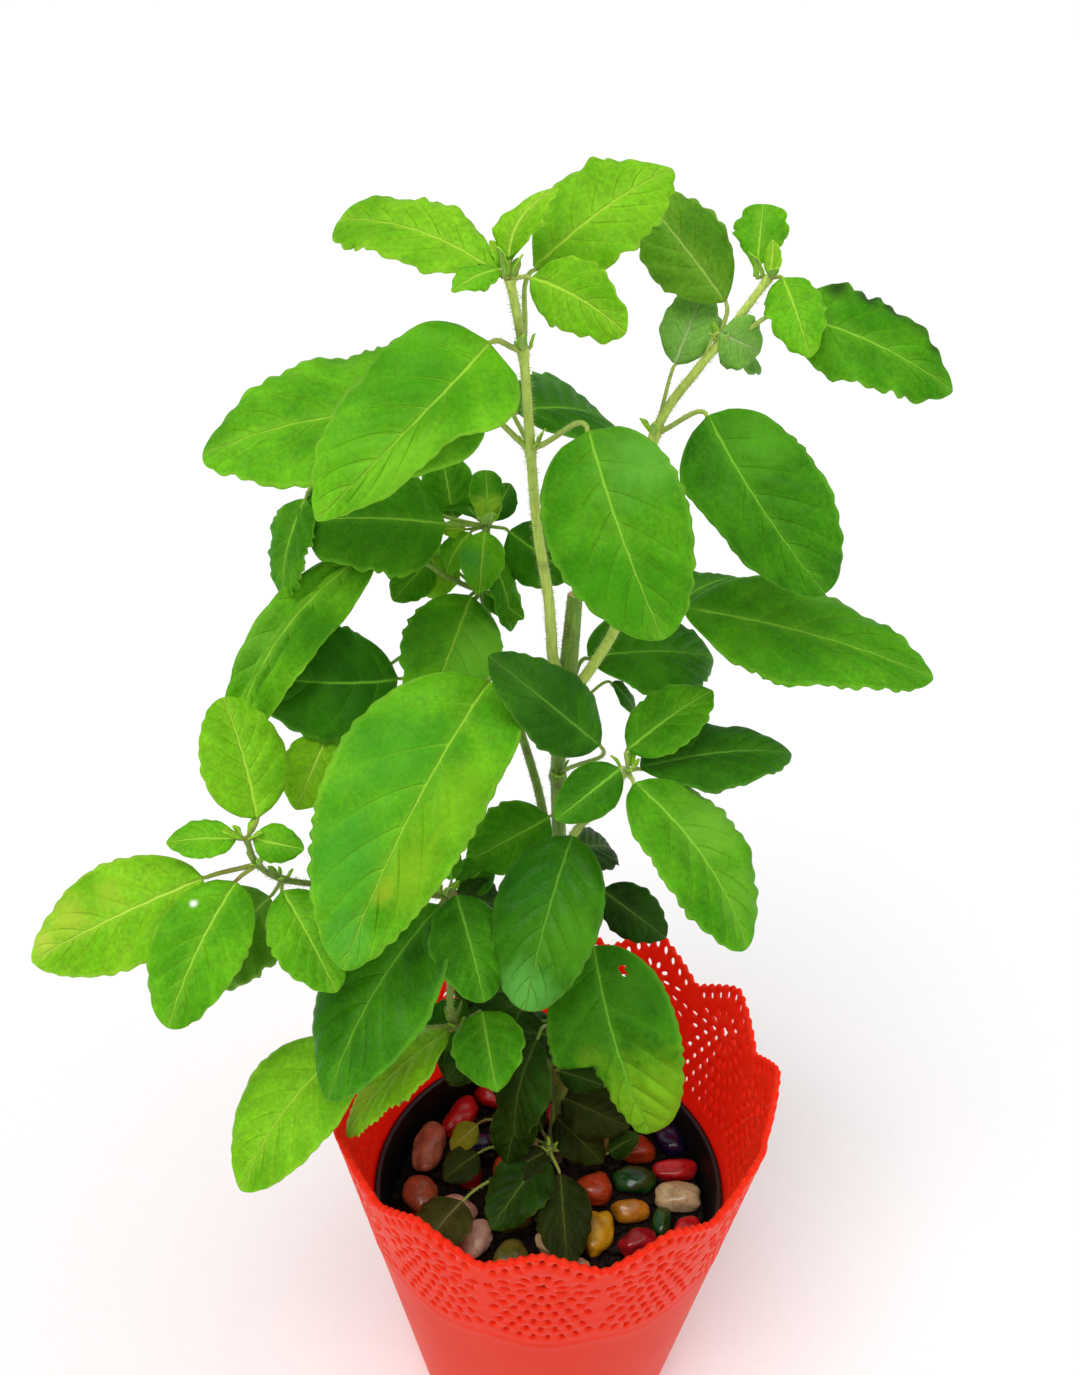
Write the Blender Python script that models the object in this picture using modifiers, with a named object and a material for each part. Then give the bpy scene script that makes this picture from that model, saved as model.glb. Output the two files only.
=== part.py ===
"""Potted holy basil: a leafy herb in a black nursery pot that stands in a red planter with a lace rim.

Metres, +Z up. The origin is the middle of the planter's underside, and the front is -Y.
A turn is counted from the front towards +X, and a rise is counted up from level, both in degrees.
"""

import math

import bmesh
import bpy
from mathutils import Vector

MM = 0.001
GAP = 0.3 * MM
MERGE = 0.01 * MM
SHARP = math.radians(40)

# Planter: a straight cone with a pierced band that ends in pointed scallops
PLANTER_HEIGHT = 140 * MM
PLANTER_BASE_RADIUS = 43 * MM
PLANTER_RIM_RADIUS = 70 * MM
PLANTER_WALL = 1.6 * MM
SCALLOPS = 12
SCALLOP_DEPTH = 13 * MM
SCALLOP_TURN = -2
LACE_BOTTOM = 84 * MM
LACE_WAVE = 3 * MM
LACE_COLUMNS = 6 * SCALLOPS
LACE_ROWS = 11
HOLE_SHRINK = 0.2

# Nursery pot: thin wall, rolled lip, standing on the planter's floor
POT_BOTTOM = PLANTER_WALL + GAP
POT_HEIGHT = 83 * MM
POT_BASE_RADIUS = 39 * MM
POT_RIM_RADIUS = 57 * MM
POT_WALL = 1.2 * MM
POT_LIP_HEIGHT = 4 * MM
POT_LIP_STEP = 1 * MM
TURNED_STEPS = 36

# Soil and pebbles
SOIL_TOP = 71 * MM
PEBBLE_SEAT = SOIL_TOP + GAP

# Stem joints in millimetres, from the root up
MAIN_STEM = [
    (2, 17, 46), (2, 17, 73), (3, 17, 107), (1, 16, 140), (1, 15, 190), (-1, 14, 236), (0, 13, 257),
    (1, 13, 274), (2, 13, 294),
]
MAIN_STEM_RADII = [2.6, 2.6, 2.3, 2.1, 1.9, 1.9, 2, 2.3, 1.9]

# Leaf blades
BLADE = 0.7 * MM
PETIOLE_HALF_WIDTH = 0.8 * MM
SHORT_PETIOLE = 8
TOOTH = 0.07
FOLD = 0.14
ARCH = 0.08
LARGE_LEAF = 26
LARGE_LEAF_ROWS = 10
SMALL_LEAF_ROWS = 6
LEAF_ROUGHNESS = 0.5
BARK_ROUGHNESS = 0.7

# Each shoot: its joints in millimetres from the root up, and its radius at the root and at the tip.
# Each leaf: joint, then turn, rise and length of its petiole, then turn, rise, length, width and roll of its blade.
SHOOTS = {
    "shoot_centre": {
        "joints": [
            (1, 13, 266), (-3, 11, 275), (-4, 10, 285), (-5, 9, 296), (-8, 7, 315), (-10, 4, 337),
            (-12, 0, 362), (-15, -3, 379),
        ],
        "colours": ("green_stem", "leaf"),
        "radii": (1.6, 1.0),
        "leaves": [
            (7, 290, 25, 4, 246, 9, 40, 25, -24),
            (7, 310, 35, 4, 315, -10, 13, 8, -15),
            (7, 180, 80, 4, 165, 68, 14, 8, -20),
            (6, 160, 68, 18, 119, 28, 39, 27, 30),
            (7, 55, 10, 6, 55, -16, 25, 15, 60),
            (6, 310, 20, 10, 304, -36, 54, 36, -34),
            (5, 280, 37, 13, 275, -7, 66, 39, -28),
            (5, 52, 28, 19, 42, -57, 50, 33, 40),
            (5, 200, 27, 12, 140, -21, 41, 24, 24),
        ],
    },
    "shoot_right": {
        "joints": [
            (1, 13, 262), (8, 16, 272), (14, 20, 283), (19, 24, 304), (21, 28, 332), (31, 32, 348),
            (36, 34, 354), (47, 38, 369),
        ],
        "colours": ("green_stem", "leaf"),
        "radii": (1.6, 1.0),
        "leaves": [
            (6, 170, 65, 10, 238, 41, 35, 21, -50),
            (7, 200, 30, 3, 171, 50, 19, 12, 0),
            (7, 50, 10, 4, 17, -36, 23, 14, 18),
            (6, 90, 17, 16, 82, -14, 44, 25, 39),
            (4, 138, 70, 18, 154, 39, 23, 14, 22),
            (6, 155, -25, 6, 152, -16, 28, 16, 36),
            (4, 60, 32, 14, 52, -44, 52, 34, 39),
            (2, 145, -17, 30, 135, -2, 30, 17, 0),
            (2, 103, 5, 18, 82, -12, 69, 38, 22),
        ],
    },
    "shoot_back": {
        "joints": [
            (1, 15, 184), (-2, 20, 200), (-6, 24, 222), (-12, 30, 241), (-15, 33, 252), (-23, 38, 281),
            (-22, 40, 300),
        ],
        "colours": ("bark", "leaf_dark"),
        "radii": (1.4, 0.9),
        "leaves": [
            (6, 0, 63, 3, 187, 76, 13, 8, 10),
            (6, 232, 19, 4, 210, -3, 19, 12, 5),
            (6, 290, 10, 12, 283, 6, 36, 22, -43),
            (6, 107, -20, 7, 84, -39, 24, 17, 65),
            (6, 355, 0, 4, 355, -50, 17, 11, -7),
            (5, 55, 70, 11, 30, -58, 17, 10, -20),
            (5, 290, 31, 8, 231, 0, 19, 11, -54),
            (5, 330, 10, 6, 335, -42, 36, 27, -28),
            (5, 292, 24, 36, 314, -52, 61, 34, -8),
            (5, 305, -35, 34, 300, 8, 36, 26, -60),
            (5, 302, -33, 58, 332, -44, 22, 17, -28),
            (6, 282, 13, 49, 311, -71, 28, 13, 3),
        ],
    },
    "shoot_front": {
        "joints": [(1, 15, 194), (2, 12, 204), (3, 9, 217), (7, 5, 228), (11, 2, 237), (17, -4, 251)],
        "colours": ("green_stem", "leaf"),
        "radii": (1.3, 0.9),
        "leaves": [
            (5, 180, 80, 6, 121, 22, 28, 17, 24),
            (5, 137, -20, 6, 109, -5, 45, 25, 7),
            (5, 330, 35, 6, 297, -30, 21, 14, -45),
            (5, 20, -8, 5, 54, -44, 52, 30, 15),
            (3, 337, 6, 10, 338, -50, 48, 29, -16),
        ],
    },
    "shoot_left": {
        "joints": [
            (1, 15, 176), (-8, 11, 188), (-25, 5, 198), (-44, -5, 209), (-62, -15, 219), (-73, -20, 225),
            (-78, -25, 234), (-80, -25, 242),
        ],
        "colours": ("bark", "leaf"),
        "radii": (1.3, 0.9),
        "leaves": [
            (7, 140, 50, 6, 208, 48, 32, 22, -7),
            (7, 300, 20, 3, 277, 0, 17, 11, -29),
            (7, 57, 24, 3, 81, -5, 13, 10, 49),
            (6, 286, -9, 14, 286, -22, 48, 28, -39),
            (6, 312, -22, 7, 331, -41, 39, 23, -25),
            (5, 10, 0, 5, 42, -40, 32, 22, 13),
            (5, 250, -60, 9, 300, -45, 26, 19, -50),
        ],
    },
    "sprig_left": {
        "joints": [(2, 16, 112), (-2, 14, 123), (-16, 2, 143), (-29, -10, 163), (-30, -11, 189), (-31, -10, 212)],
        "colours": ("bark", "leaf"),
        "radii": (1.3, 0.8),
        "leaves": [
            (5, 35, 36, 7, 24, -46, 29, 16, -8),
            (5, 90, 75, 6, 190, 30, 10, 7, 0),
            (5, 340, -5, 4, 319, -43, 59, 34, -2),
            (3, 293, 9, 31, 314, -36, 50, 31, -9),
            (3, 321, -10, 3, 297, -40, 43, 20, 15),
            (3, 65, 20, 6, 15, -34, 19, 15, 14),
        ],
    },
    "sprig_foot": {
        "joints": [(2, 17, 80), (1, 10, 88), (0, 4, 93)],
        "colours": ("bark", "leaf_dark"),
        "radii": (1.1, 0.8),
        "leaves": [
            (1, 245, 53, 7, 246, 55, 34, 19, 0),
            (1, 90, 30, 4, 120, 15, 16, 12, 0),
            (1, 265, 15, 26, 300, -35, 12, 9, -20),
            (1, 281, 2, 25, 310, -10, 14, 12, -10),
            (2, 330, 30, 3, 300, -12, 16, 13, -10),
            (2, 330, 0, 3, 324, -14, 29, 20, -10),
            (2, 303, -7, 33, 325, -6, 17, 14, 0),
            (2, 10, 10, 4, 5, -16, 33, 18, 5),
        ],
    },
}

MAIN_LEAVES = [
    (6, 315, 39, 35, 321, -47, 80, 47, -34),
    (6, 136, 57, 17, 123, -17, 46, 24, 0),
    (6, 116, 23, 16, 119, -55, 14, 8, 34),
    (5, 25, 53, 25, 263, 40, 37, 22, -38),
    (5, 339, -60, 12, 295, -18, 26, 20, -46),
    (4, 160, 51, 15, 146, -32, 28, 17, 32),
    (4, 104, 7, 13, 73, -32, 24, 16, 49),
    (4, 42, -27, 17, 34, -56, 58, 38, 28),
]

# Pebbles: colour, place on the soil in millimetres, turn, then length, width and height in millimetres
PEBBLES = [
    ("pink_brown", -41, 18, 80, 21, 11, 9),
    ("red", -31, 32, 60, 17, 9, 8),
    ("rust", -42, -1, 90, 15, 12, 9),
    ("dark_red", -43, -15, 120, 13, 9, 8),
    ("white", -30, -6, 165, 14, 9, 8),
    ("white", -23, -17, 60, 14, 10, 8),
    ("olive", -12, -24, 50, 13, 10, 8),
    ("white", -6, -36, 100, 14, 8, 7),
    ("orange", 15, 3, 10, 13, 11, 9),
    ("dark_green", 29, 7, 0, 15, 10, 8),
    ("red", 43, 12, 5, 16, 8, 7),
    ("beige", 43, 1, 0, 16, 10, 8),
    ("red", 45, -13, 60, 12, 9, 8),
    ("yellow", 16, -14, 80, 16, 10, 9),
    ("orange", 27, -5, 0, 13, 8, 8),
    ("crimson", 29, -17, 30, 13, 9, 8),
    ("dark_green", 37, -9, 80, 11, 6, 7),
    ("orange", 30, 20, 0, 13, 10, 8),
    ("navy", 42, 24, 120, 13, 9, 8),
    ("red", 20, 39, 80, 16, 10, 8),
    ("red", -20, 42, 150, 14, 9, 8),
    ("rust", 8, 46, 170, 13, 9, 8),
    ("olive", -6, 47, 10, 13, 9, 8),
    ("white", -13, 31, 30, 14, 10, 8),
    ("navy", -26, 20, 20, 14, 10, 8),
    ("orange", -13, 8, 110, 14, 10, 9),
    ("crimson", 4, -7, 150, 13, 9, 8),
    ("beige", 32, 35, 140, 14, 9, 8),
    ("olive", 17, 22, 60, 13, 9, 8),
    ("white", 9, -31, 70, 14, 9, 8),
    ("dark_green", 24, -32, 140, 14, 9, 8),
    ("orange", -23, -33, 20, 14, 10, 8),
    ("yellow", -36, -28, 130, 13, 9, 8),
    ("crimson", 38, -28, 50, 13, 9, 8),
    ("navy", 3, -46, 0, 13, 8, 8),
    ("beige", -8, 21, 100, 12, 8, 8),
    ("crimson", -27, 8, 140, 12, 8, 8),
    ("rust", -16, -44, 165, 13, 8, 8),
    ("dark_red", 17, -44, 15, 13, 8, 8),
    ("beige", 2, -18, 170, 13, 9, 8),
    ("olive", -11, -9, 20, 13, 9, 8),
    ("crimson", 4, 34, 10, 13, 9, 8),
    ("navy", 2, 6, 0, 11, 8, 8),
]
PEBBLE_POINTS = 8
PEBBLE_RINGS = 4
PEBBLE_LEAN = 0.12

# Colours: red, green and blue in linear light
COLOURS = {
    "planter_red": (0.86, 0.05, 0.03),
    "pot_black": (0.012, 0.012, 0.014),
    "soil": (0.035, 0.022, 0.015),
    "bark": (0.22, 0.2, 0.05),
    "green_stem": (0.25, 0.38, 0.06),
    "leaf": (0.08, 0.33, 0.02),
    "leaf_dark": (0.03, 0.16, 0.012),
    "pink_brown": (0.45, 0.16, 0.12),
    "red": (0.6, 0.02, 0.03),
    "rust": (0.4, 0.1, 0.05),
    "dark_red": (0.16, 0.01, 0.01),
    "white": (0.7, 0.55, 0.48),
    "olive": (0.2, 0.2, 0.03),
    "orange": (0.6, 0.14, 0.04),
    "dark_green": (0.01, 0.1, 0.02),
    "beige": (0.6, 0.5, 0.3),
    "yellow": (0.65, 0.5, 0.02),
    "crimson": (0.4, 0.01, 0.04),
    "navy": (0.02, 0.01, 0.12),
}


def clear_scene():
    for obj in list(bpy.data.objects):
        bpy.data.objects.remove(obj, do_unlink=True)


def new_collection(name):
    collection = bpy.data.collections.new(name)
    bpy.context.scene.collection.children.link(collection)
    return collection


def material(name, roughness):
    """The Principled material of this colour, made once."""
    found = bpy.data.materials.get(name)
    if found:
        return found
    made = bpy.data.materials.new(name)
    made.use_nodes = True
    shader = made.node_tree.nodes["Principled BSDF"]
    shader.inputs["Base Color"].default_value = (*COLOURS[name], 1)
    shader.inputs["Roughness"].default_value = roughness
    shader.inputs["Metallic"].default_value = 0
    return made


def new_object(name, mesh, collection, colour=None, roughness=0.5):
    obj = bpy.data.objects.new(name, mesh)
    collection.objects.link(obj)
    if colour:
        mesh.materials.clear()
        mesh.materials.append(material(colour, roughness))
    return obj


def shade_round(mesh):
    mesh.shade_smooth()
    mesh.set_sharp_from_angle(angle=SHARP)


def heading(turn, rise):
    """The unit vector at this turn from the front and this rise from level."""
    turn = math.radians(turn)
    rise = math.radians(rise)
    return Vector((math.sin(turn) * math.cos(rise), -math.cos(turn) * math.cos(rise), math.sin(rise)))


def evaluated_mesh(obj):
    """A copy of the object's mesh with its modifiers applied and its loose caps welded."""
    graph = bpy.context.evaluated_depsgraph_get()
    mesh = bpy.data.meshes.new_from_object(obj.evaluated_get(graph))
    bm = bmesh.new()
    bm.from_mesh(mesh)
    bmesh.ops.remove_doubles(bm, verts=bm.verts, dist=MERGE)
    bm.to_mesh(mesh)
    bm.free()
    return mesh


def planter_radius(height):
    return PLANTER_BASE_RADIUS + (PLANTER_RIM_RADIUS - PLANTER_BASE_RADIUS) * height / PLANTER_HEIGHT


def scallop(turn):
    """0 at the point of a scallop and 1 in the valley between two."""
    share = (turn - SCALLOP_TURN) * SCALLOPS / 360
    return abs(share - round(share)) * 2


def planter_point(column, row):
    """Row 0 is the middle of the floor, row 1 its edge, and the lace runs from row 2 to the rim."""
    turn = 360 * column / LACE_COLUMNS + SCALLOP_TURN
    if row == 0:
        return Vector((0, 0, 0))
    if row == 1:
        height = 0
    else:
        low = LACE_BOTTOM + LACE_WAVE * scallop(turn)
        high = PLANTER_HEIGHT - SCALLOP_DEPTH * scallop(turn)
        height = low + (high - low) * (row - 2) / LACE_ROWS
    return heading(turn, 0) * planter_radius(height) + Vector((0, 0, height))


def is_hole(column, row):
    """Every other cell of every other lace row, each such row one cell round from the last."""
    lace_row = row - 2
    return lace_row > 0 and lace_row % 2 == 1 and lace_row < LACE_ROWS - 1 and (column + lace_row // 2) % 2 == 0


def make_planter(collection):
    """A flat grid, marked where it is pierced, wrapped round into the pot and given its wall."""
    rows = LACE_ROWS + 2
    bm = bmesh.new()
    bmesh.ops.create_grid(bm, x_segments=LACE_COLUMNS, y_segments=rows, size=1)
    for face in bm.faces:
        middle = face.calc_center_median()
        column = math.floor((middle.x + 1) / 2 * LACE_COLUMNS)
        row = math.floor((middle.y + 1) / 2 * rows)
        face.material_index = 1 if is_hole(column, row) else 0
    for vert in bm.verts:
        column = round((vert.co.x + 1) / 2 * LACE_COLUMNS)
        row = round((vert.co.y + 1) / 2 * rows)
        vert.co = planter_point(column, row)
    bmesh.ops.remove_doubles(bm, verts=bm.verts, dist=MERGE)
    holes = [face for face in bm.faces if face.material_index == 1]
    for face in holes:
        middle = face.calc_center_median()
        for vert in face.verts:
            vert.co = vert.co.lerp(middle, HOLE_SHRINK)
    bmesh.ops.delete(bm, geom=holes, context="FACES")
    bmesh.ops.triangulate(bm, faces=bm.faces)
    mesh = bpy.data.meshes.new("planter")
    bm.to_mesh(mesh)
    bm.free()
    shade_round(mesh)
    planter = new_object("planter", mesh, collection, "planter_red", 0.35)
    shell = planter.modifiers.new("Wall", "SOLIDIFY")
    shell.thickness = PLANTER_WALL
    shell.offset = -1
    shell.use_even_offset = True
    return planter


def turned(name, profile, collection, colour, roughness):
    """A turned solid from a profile of (radius, height) points that runs up inside and down outside."""
    mesh = bpy.data.meshes.new(name)
    points = [(radius, 0, height) for radius, height in profile]
    mesh.from_pydata(points, [(i, i + 1) for i in range(len(points) - 1)], [])
    obj = new_object(name, mesh, collection, colour, roughness)
    screw = obj.modifiers.new("Turn", "SCREW")
    screw.steps = TURNED_STEPS
    screw.render_steps = TURNED_STEPS
    screw.use_merge_vertices = True
    screw.merge_threshold = 0.0001
    return obj


def pot_outer_radius(height):
    return POT_BASE_RADIUS + (POT_RIM_RADIUS - POT_BASE_RADIUS) * (height - POT_BOTTOM) / POT_HEIGHT


def make_nursery_pot(collection):
    top = POT_BOTTOM + POT_HEIGHT
    lip = top - POT_LIP_HEIGHT
    inside = pot_outer_radius(top) - POT_LIP_STEP - POT_WALL
    profile = [
        (0, POT_BOTTOM + POT_WALL),
        (POT_BASE_RADIUS - POT_WALL, POT_BOTTOM + POT_WALL),
        (inside, lip),
        (inside, top - POT_WALL / 2),
        (inside + POT_WALL / 2, top),
        (pot_outer_radius(top) - POT_WALL / 2, top),
        (pot_outer_radius(top), top - POT_WALL / 2),
        (pot_outer_radius(lip), lip),
        (pot_outer_radius(lip) - POT_LIP_STEP, lip),
        (POT_BASE_RADIUS, POT_BOTTOM),
        (0, POT_BOTTOM),
    ]
    return turned("nursery_pot", profile, collection, "pot_black", 0.4)


def soil_radius(height):
    """The radius that leaves the gap inside the nursery pot's wall."""
    inside_base = POT_BASE_RADIUS - POT_WALL
    inside_lip = POT_RIM_RADIUS - POT_LIP_STEP - POT_WALL
    floor = POT_BOTTOM + POT_WALL
    lip = POT_BOTTOM + POT_HEIGHT - POT_LIP_HEIGHT
    return inside_base + (inside_lip - inside_base) * (height - floor) / (lip - floor) - 1.5 * GAP


def make_soil(collection, stem_cutter):
    bottom = POT_BOTTOM + POT_WALL + GAP
    profile = [
        (0, SOIL_TOP),
        (soil_radius(SOIL_TOP), SOIL_TOP),
        (soil_radius(bottom), bottom),
        (0, bottom),
    ]
    soil = turned("soil", profile, collection, "soil", 0.95)
    hole = soil.modifiers.new("Stem hole", "BOOLEAN")
    hole.operation = "DIFFERENCE"
    hole.object = stem_cutter
    return soil


def tube(name, points, radii, resolution, collection):
    """A tube along these points, as a closed mesh, with a radius for each point."""
    curve = bpy.data.curves.new(name, "CURVE")
    curve.dimensions = "3D"
    curve.bevel_depth = 1
    curve.bevel_resolution = resolution
    curve.use_fill_caps = True
    spline = curve.splines.new("POLY")
    spline.points.add(len(points) - 1)
    for place, point, radius in zip(spline.points, points, radii):
        place.co = (*point, 1)
        place.radius = radius
    guide = bpy.data.objects.new(name + "_guide", curve)
    collection.objects.link(guide)
    mesh = evaluated_mesh(guide)
    bpy.data.objects.remove(guide, do_unlink=True)
    return new_object(name, mesh, collection)


def blade_half_width(share, half_width):
    """Blunt oval: narrow at the base, widest just past the middle, rounded at the tip."""
    oval = math.sin(math.pi * min(share, 1) ** 0.9) ** 0.7 if share < 1 else 0
    return max(half_width * oval, PETIOLE_HALF_WIDTH)


def make_leaf(name, start, row, collection, colour):
    """One leaf: a strip three points wide that runs out along the petiole and then spreads as the blade."""
    petiole_turn, petiole_rise, petiole_length, turn, rise, length, width, roll = row
    base = start + heading(petiole_turn, petiole_rise) * petiole_length * MM
    along = heading(turn, rise)
    upright = (Vector((0, 0, 1)) - along * along.z).normalized()
    side = along.cross(upright)
    roll = math.radians(roll)
    normal = upright * math.cos(roll) + side * math.sin(roll)
    side = along.cross(normal)
    blade_rows = LARGE_LEAF_ROWS if length >= LARGE_LEAF else SMALL_LEAF_ROWS
    petiole_rows = 1 if petiole_length <= SHORT_PETIOLE else 2
    rows = petiole_rows + blade_rows
    bm = bmesh.new()
    bmesh.ops.create_grid(bm, x_segments=2, y_segments=rows, size=1)
    for vert in bm.verts:
        across = round(vert.co.x)
        step = round((vert.co.y + 1) / 2 * rows)
        if step <= petiole_rows:
            middle = start.lerp(base, step / petiole_rows)
            half = PETIOLE_HALF_WIDTH
            lift = 0
        else:
            share = (step - petiole_rows) / blade_rows
            rise_here = ARCH * length * MM * 4 * share * (1 - share)
            middle = base + along * length * MM * share + normal * rise_here
            tooth = 1 + TOOTH * (1 if step % 2 else -1)
            half = blade_half_width(share, width * MM / 2 * tooth)
            lift = FOLD * half
        vert.co = middle + side * half * across + normal * lift * abs(across)
    bmesh.ops.triangulate(bm, faces=bm.faces)
    mesh = bpy.data.meshes.new(name)
    bm.to_mesh(mesh)
    bm.free()
    leaf = new_object(name, mesh, collection)
    skin = leaf.modifiers.new("Blade", "SOLIDIFY")
    skin.thickness = BLADE
    skin.offset = 0
    solid = evaluated_mesh(leaf)
    bpy.data.objects.remove(leaf, do_unlink=True)
    return new_object(name, solid, collection, colour, LEAF_ROUGHNESS)


def fuse(name, pieces, collection, cutter=None):
    """One solid from a stem and its leaves, cut clear of the stem that it grows from."""
    stem = pieces[0]
    others = new_collection(name + "_leaves")
    for piece in pieces[1:]:
        piece.users_collection[0].objects.unlink(piece)
        others.objects.link(piece)
    union = stem.modifiers.new("Leaves", "BOOLEAN")
    union.operation = "UNION"
    union.solver = "MANIFOLD"
    union.operand_type = "COLLECTION"
    union.collection = others
    union.material_mode = "TRANSFER"
    if cutter:
        cut = stem.modifiers.new("Clear of the stem", "BOOLEAN")
        cut.operation = "DIFFERENCE"
        cut.solver = "MANIFOLD"
        cut.object = cutter
    mesh = evaluated_mesh(stem)
    mesh.name = name
    shade_round(mesh)
    for piece in pieces:
        bpy.data.objects.remove(piece, do_unlink=True)
    bpy.data.collections.remove(others)
    return new_object(name, mesh, collection)


def stem_points(joints):
    return [Vector(joint) * MM for joint in joints]


def make_shoot(name, joints, radii, leaf_rows, resolution, collection, colours, cutter=None):
    """A stem with its leaves, whose colours are the stem's and then the leaves'."""
    points = stem_points(joints)
    stem = tube(name + "_stem", points, radii, resolution, collection)
    stem.data.materials.append(material(colours[0], BARK_ROUGHNESS))
    pieces = [stem]
    for number, (joint, *row) in enumerate(leaf_rows, 1):
        pieces.append(make_leaf(f"{name}_leaf_{number}", points[joint], row, collection, colours[1]))
    return fuse(name, pieces, collection, cutter)


def tapered(radii, count):
    """Radii in metres from the root to the tip."""
    root, tip = radii
    return [(root + (tip - root) * i / (count - 1)) * MM for i in range(count)]


def make_cutter(name, joints, radii, spare, collection):
    """The stem's tube made wider by the gap, as a cutter."""
    points = stem_points(joints)
    cutter = tube(name, points, [radius * MM + spare for radius in radii], 2, collection)
    cutter.hide_render = True
    cutter.display_type = "WIRE"
    return cutter


def make_pebbles(collection):
    for number, (colour, x, y, turn, length, width, height) in enumerate(PEBBLES, 1):
        bm = bmesh.new()
        bmesh.ops.create_uvsphere(bm, u_segments=PEBBLE_POINTS, v_segments=PEBBLE_RINGS, radius=0.5)
        for vert in bm.verts:
            lean = 1 + PEBBLE_LEAN * vert.co.x
            vert.co = Vector((vert.co.x * length, vert.co.y * width * lean, vert.co.z * height)) * MM
        mesh = bpy.data.meshes.new("pebble")
        bm.to_mesh(mesh)
        bm.free()
        shade_round(mesh)
        pebble = new_object(f"pebble_{number:02d}", mesh, collection, colour, 0.15)
        pebble.location = (x * MM, y * MM, PEBBLE_SEAT + height / 2 * MM)
        pebble.rotation_euler.z = math.radians(turn)


def main():
    clear_scene()
    basil = new_collection("potted_holy_basil")
    cutters = new_collection("cutters")
    clearance = make_cutter("stem_clearance", MAIN_STEM, MAIN_STEM_RADII, GAP, cutters)
    make_planter(basil)
    make_nursery_pot(basil)
    make_soil(basil, clearance)
    make_pebbles(basil)
    main_radii = [radius * MM for radius in MAIN_STEM_RADII]
    make_shoot("main_stem", MAIN_STEM, main_radii, MAIN_LEAVES, 2, basil, ("bark", "leaf"))
    for name, shoot in SHOOTS.items():
        radii = tapered(shoot["radii"], len(shoot["joints"]))
        make_shoot(name, shoot["joints"], radii, shoot["leaves"], 1, basil, shoot["colours"], clearance)


main()
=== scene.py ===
"""Potted holy basil in a pierced planter, dressed leaf by leaf and set for the photograph.

Metres, +Z up, the front is -Y. Turns are counted from the front towards +X and rises up from level, in degrees.
"""

import math
import random

import bmesh
import bpy
import numpy as np
from mathutils import Matrix, Vector, geometry, kdtree, noise


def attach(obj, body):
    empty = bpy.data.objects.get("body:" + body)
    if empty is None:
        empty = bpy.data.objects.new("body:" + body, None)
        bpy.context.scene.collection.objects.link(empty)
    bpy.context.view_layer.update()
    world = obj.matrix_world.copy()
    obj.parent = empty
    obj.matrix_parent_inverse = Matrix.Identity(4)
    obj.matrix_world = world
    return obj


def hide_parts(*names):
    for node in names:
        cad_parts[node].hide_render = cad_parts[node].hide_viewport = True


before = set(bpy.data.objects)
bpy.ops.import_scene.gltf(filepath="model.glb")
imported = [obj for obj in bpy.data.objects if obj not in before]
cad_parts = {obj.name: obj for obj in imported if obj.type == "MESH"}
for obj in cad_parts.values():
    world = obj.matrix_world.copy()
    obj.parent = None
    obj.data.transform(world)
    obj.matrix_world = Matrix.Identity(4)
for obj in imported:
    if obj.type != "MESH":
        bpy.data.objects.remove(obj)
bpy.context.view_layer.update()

MM = 0.001

# Planter, as in the part's source
PLANTER_HEIGHT = 140
PLANTER_BASE_RADIUS = 43
PLANTER_RIM_RADIUS = 70
PLANTER_WALL = 1.6
SCALLOPS = 12
SCALLOP_DEPTH = 13
SCALLOP_TURN = -2
LACE_BOTTOM = 84
LACE_WAVE = 3

# The planter's lace: the width of one scallop, the columns of the wall below it, the steps along its rim, the
# height of its flower, and how far the wall leans out
SPAN = 2 * math.pi * PLANTER_RIM_RADIUS / SCALLOPS
SPAN_COLUMNS = 12
RIM_STEPS = 72
FLOWER_HEIGHT = 121
WALL_SLOPE = math.atan2(PLANTER_RIM_RADIUS - PLANTER_BASE_RADIUS, PLANTER_HEIGHT)

# Nursery pot, soil and pebbles, as in the part's source
POT_BOTTOM = 1.9
POT_HEIGHT = 83
POT_BASE_RADIUS = 39
POT_RIM_RADIUS = 57
POT_WALL = 1.2
POT_LIP_HEIGHT = 4
POT_LIP_STEP = 1
SOIL_BOTTOM = 3.5
SOIL_TOP = 71
SOIL_FOOT_RADIUS = 37.8
SOIL_RADIUS = 52.3
PEBBLE_SEAT = 71.3
PEBBLE_LEAN = 0.12

# Crumbs that lie loose on the soil
CRUMBS = 620
CRUMB_REACH = 51

# Leaf blades. ARCH is a share of the length and FOLD a slope. VEIN_SWEEP is how far the side veins lean towards
# the tip, and VEIN_STAGGER how far those of one half are ahead, as a share of their spacing.
PETIOLE_HALF_WIDTH = 0.6
ARCH = 0.08
FOLD = 0.14
VEIN_PAIRS = 7
VEIN_SWEEP = 1.5
VEIN_STAGGER = 0.35
BLADE_MIDDLE = 0.42
BLADE_MARGIN = 0.26

# Hairs: their thickness, the height at which they start above the pebbles, then how many stand on a
# millimetre and how long they are, on stems and on petioles
HAIR_RADIUS = 0.045
HAIRS_FROM = 82
STEM_HAIRS = (16, 1.25)
PETIOLE_HAIRS = (6, 0.9)

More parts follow.
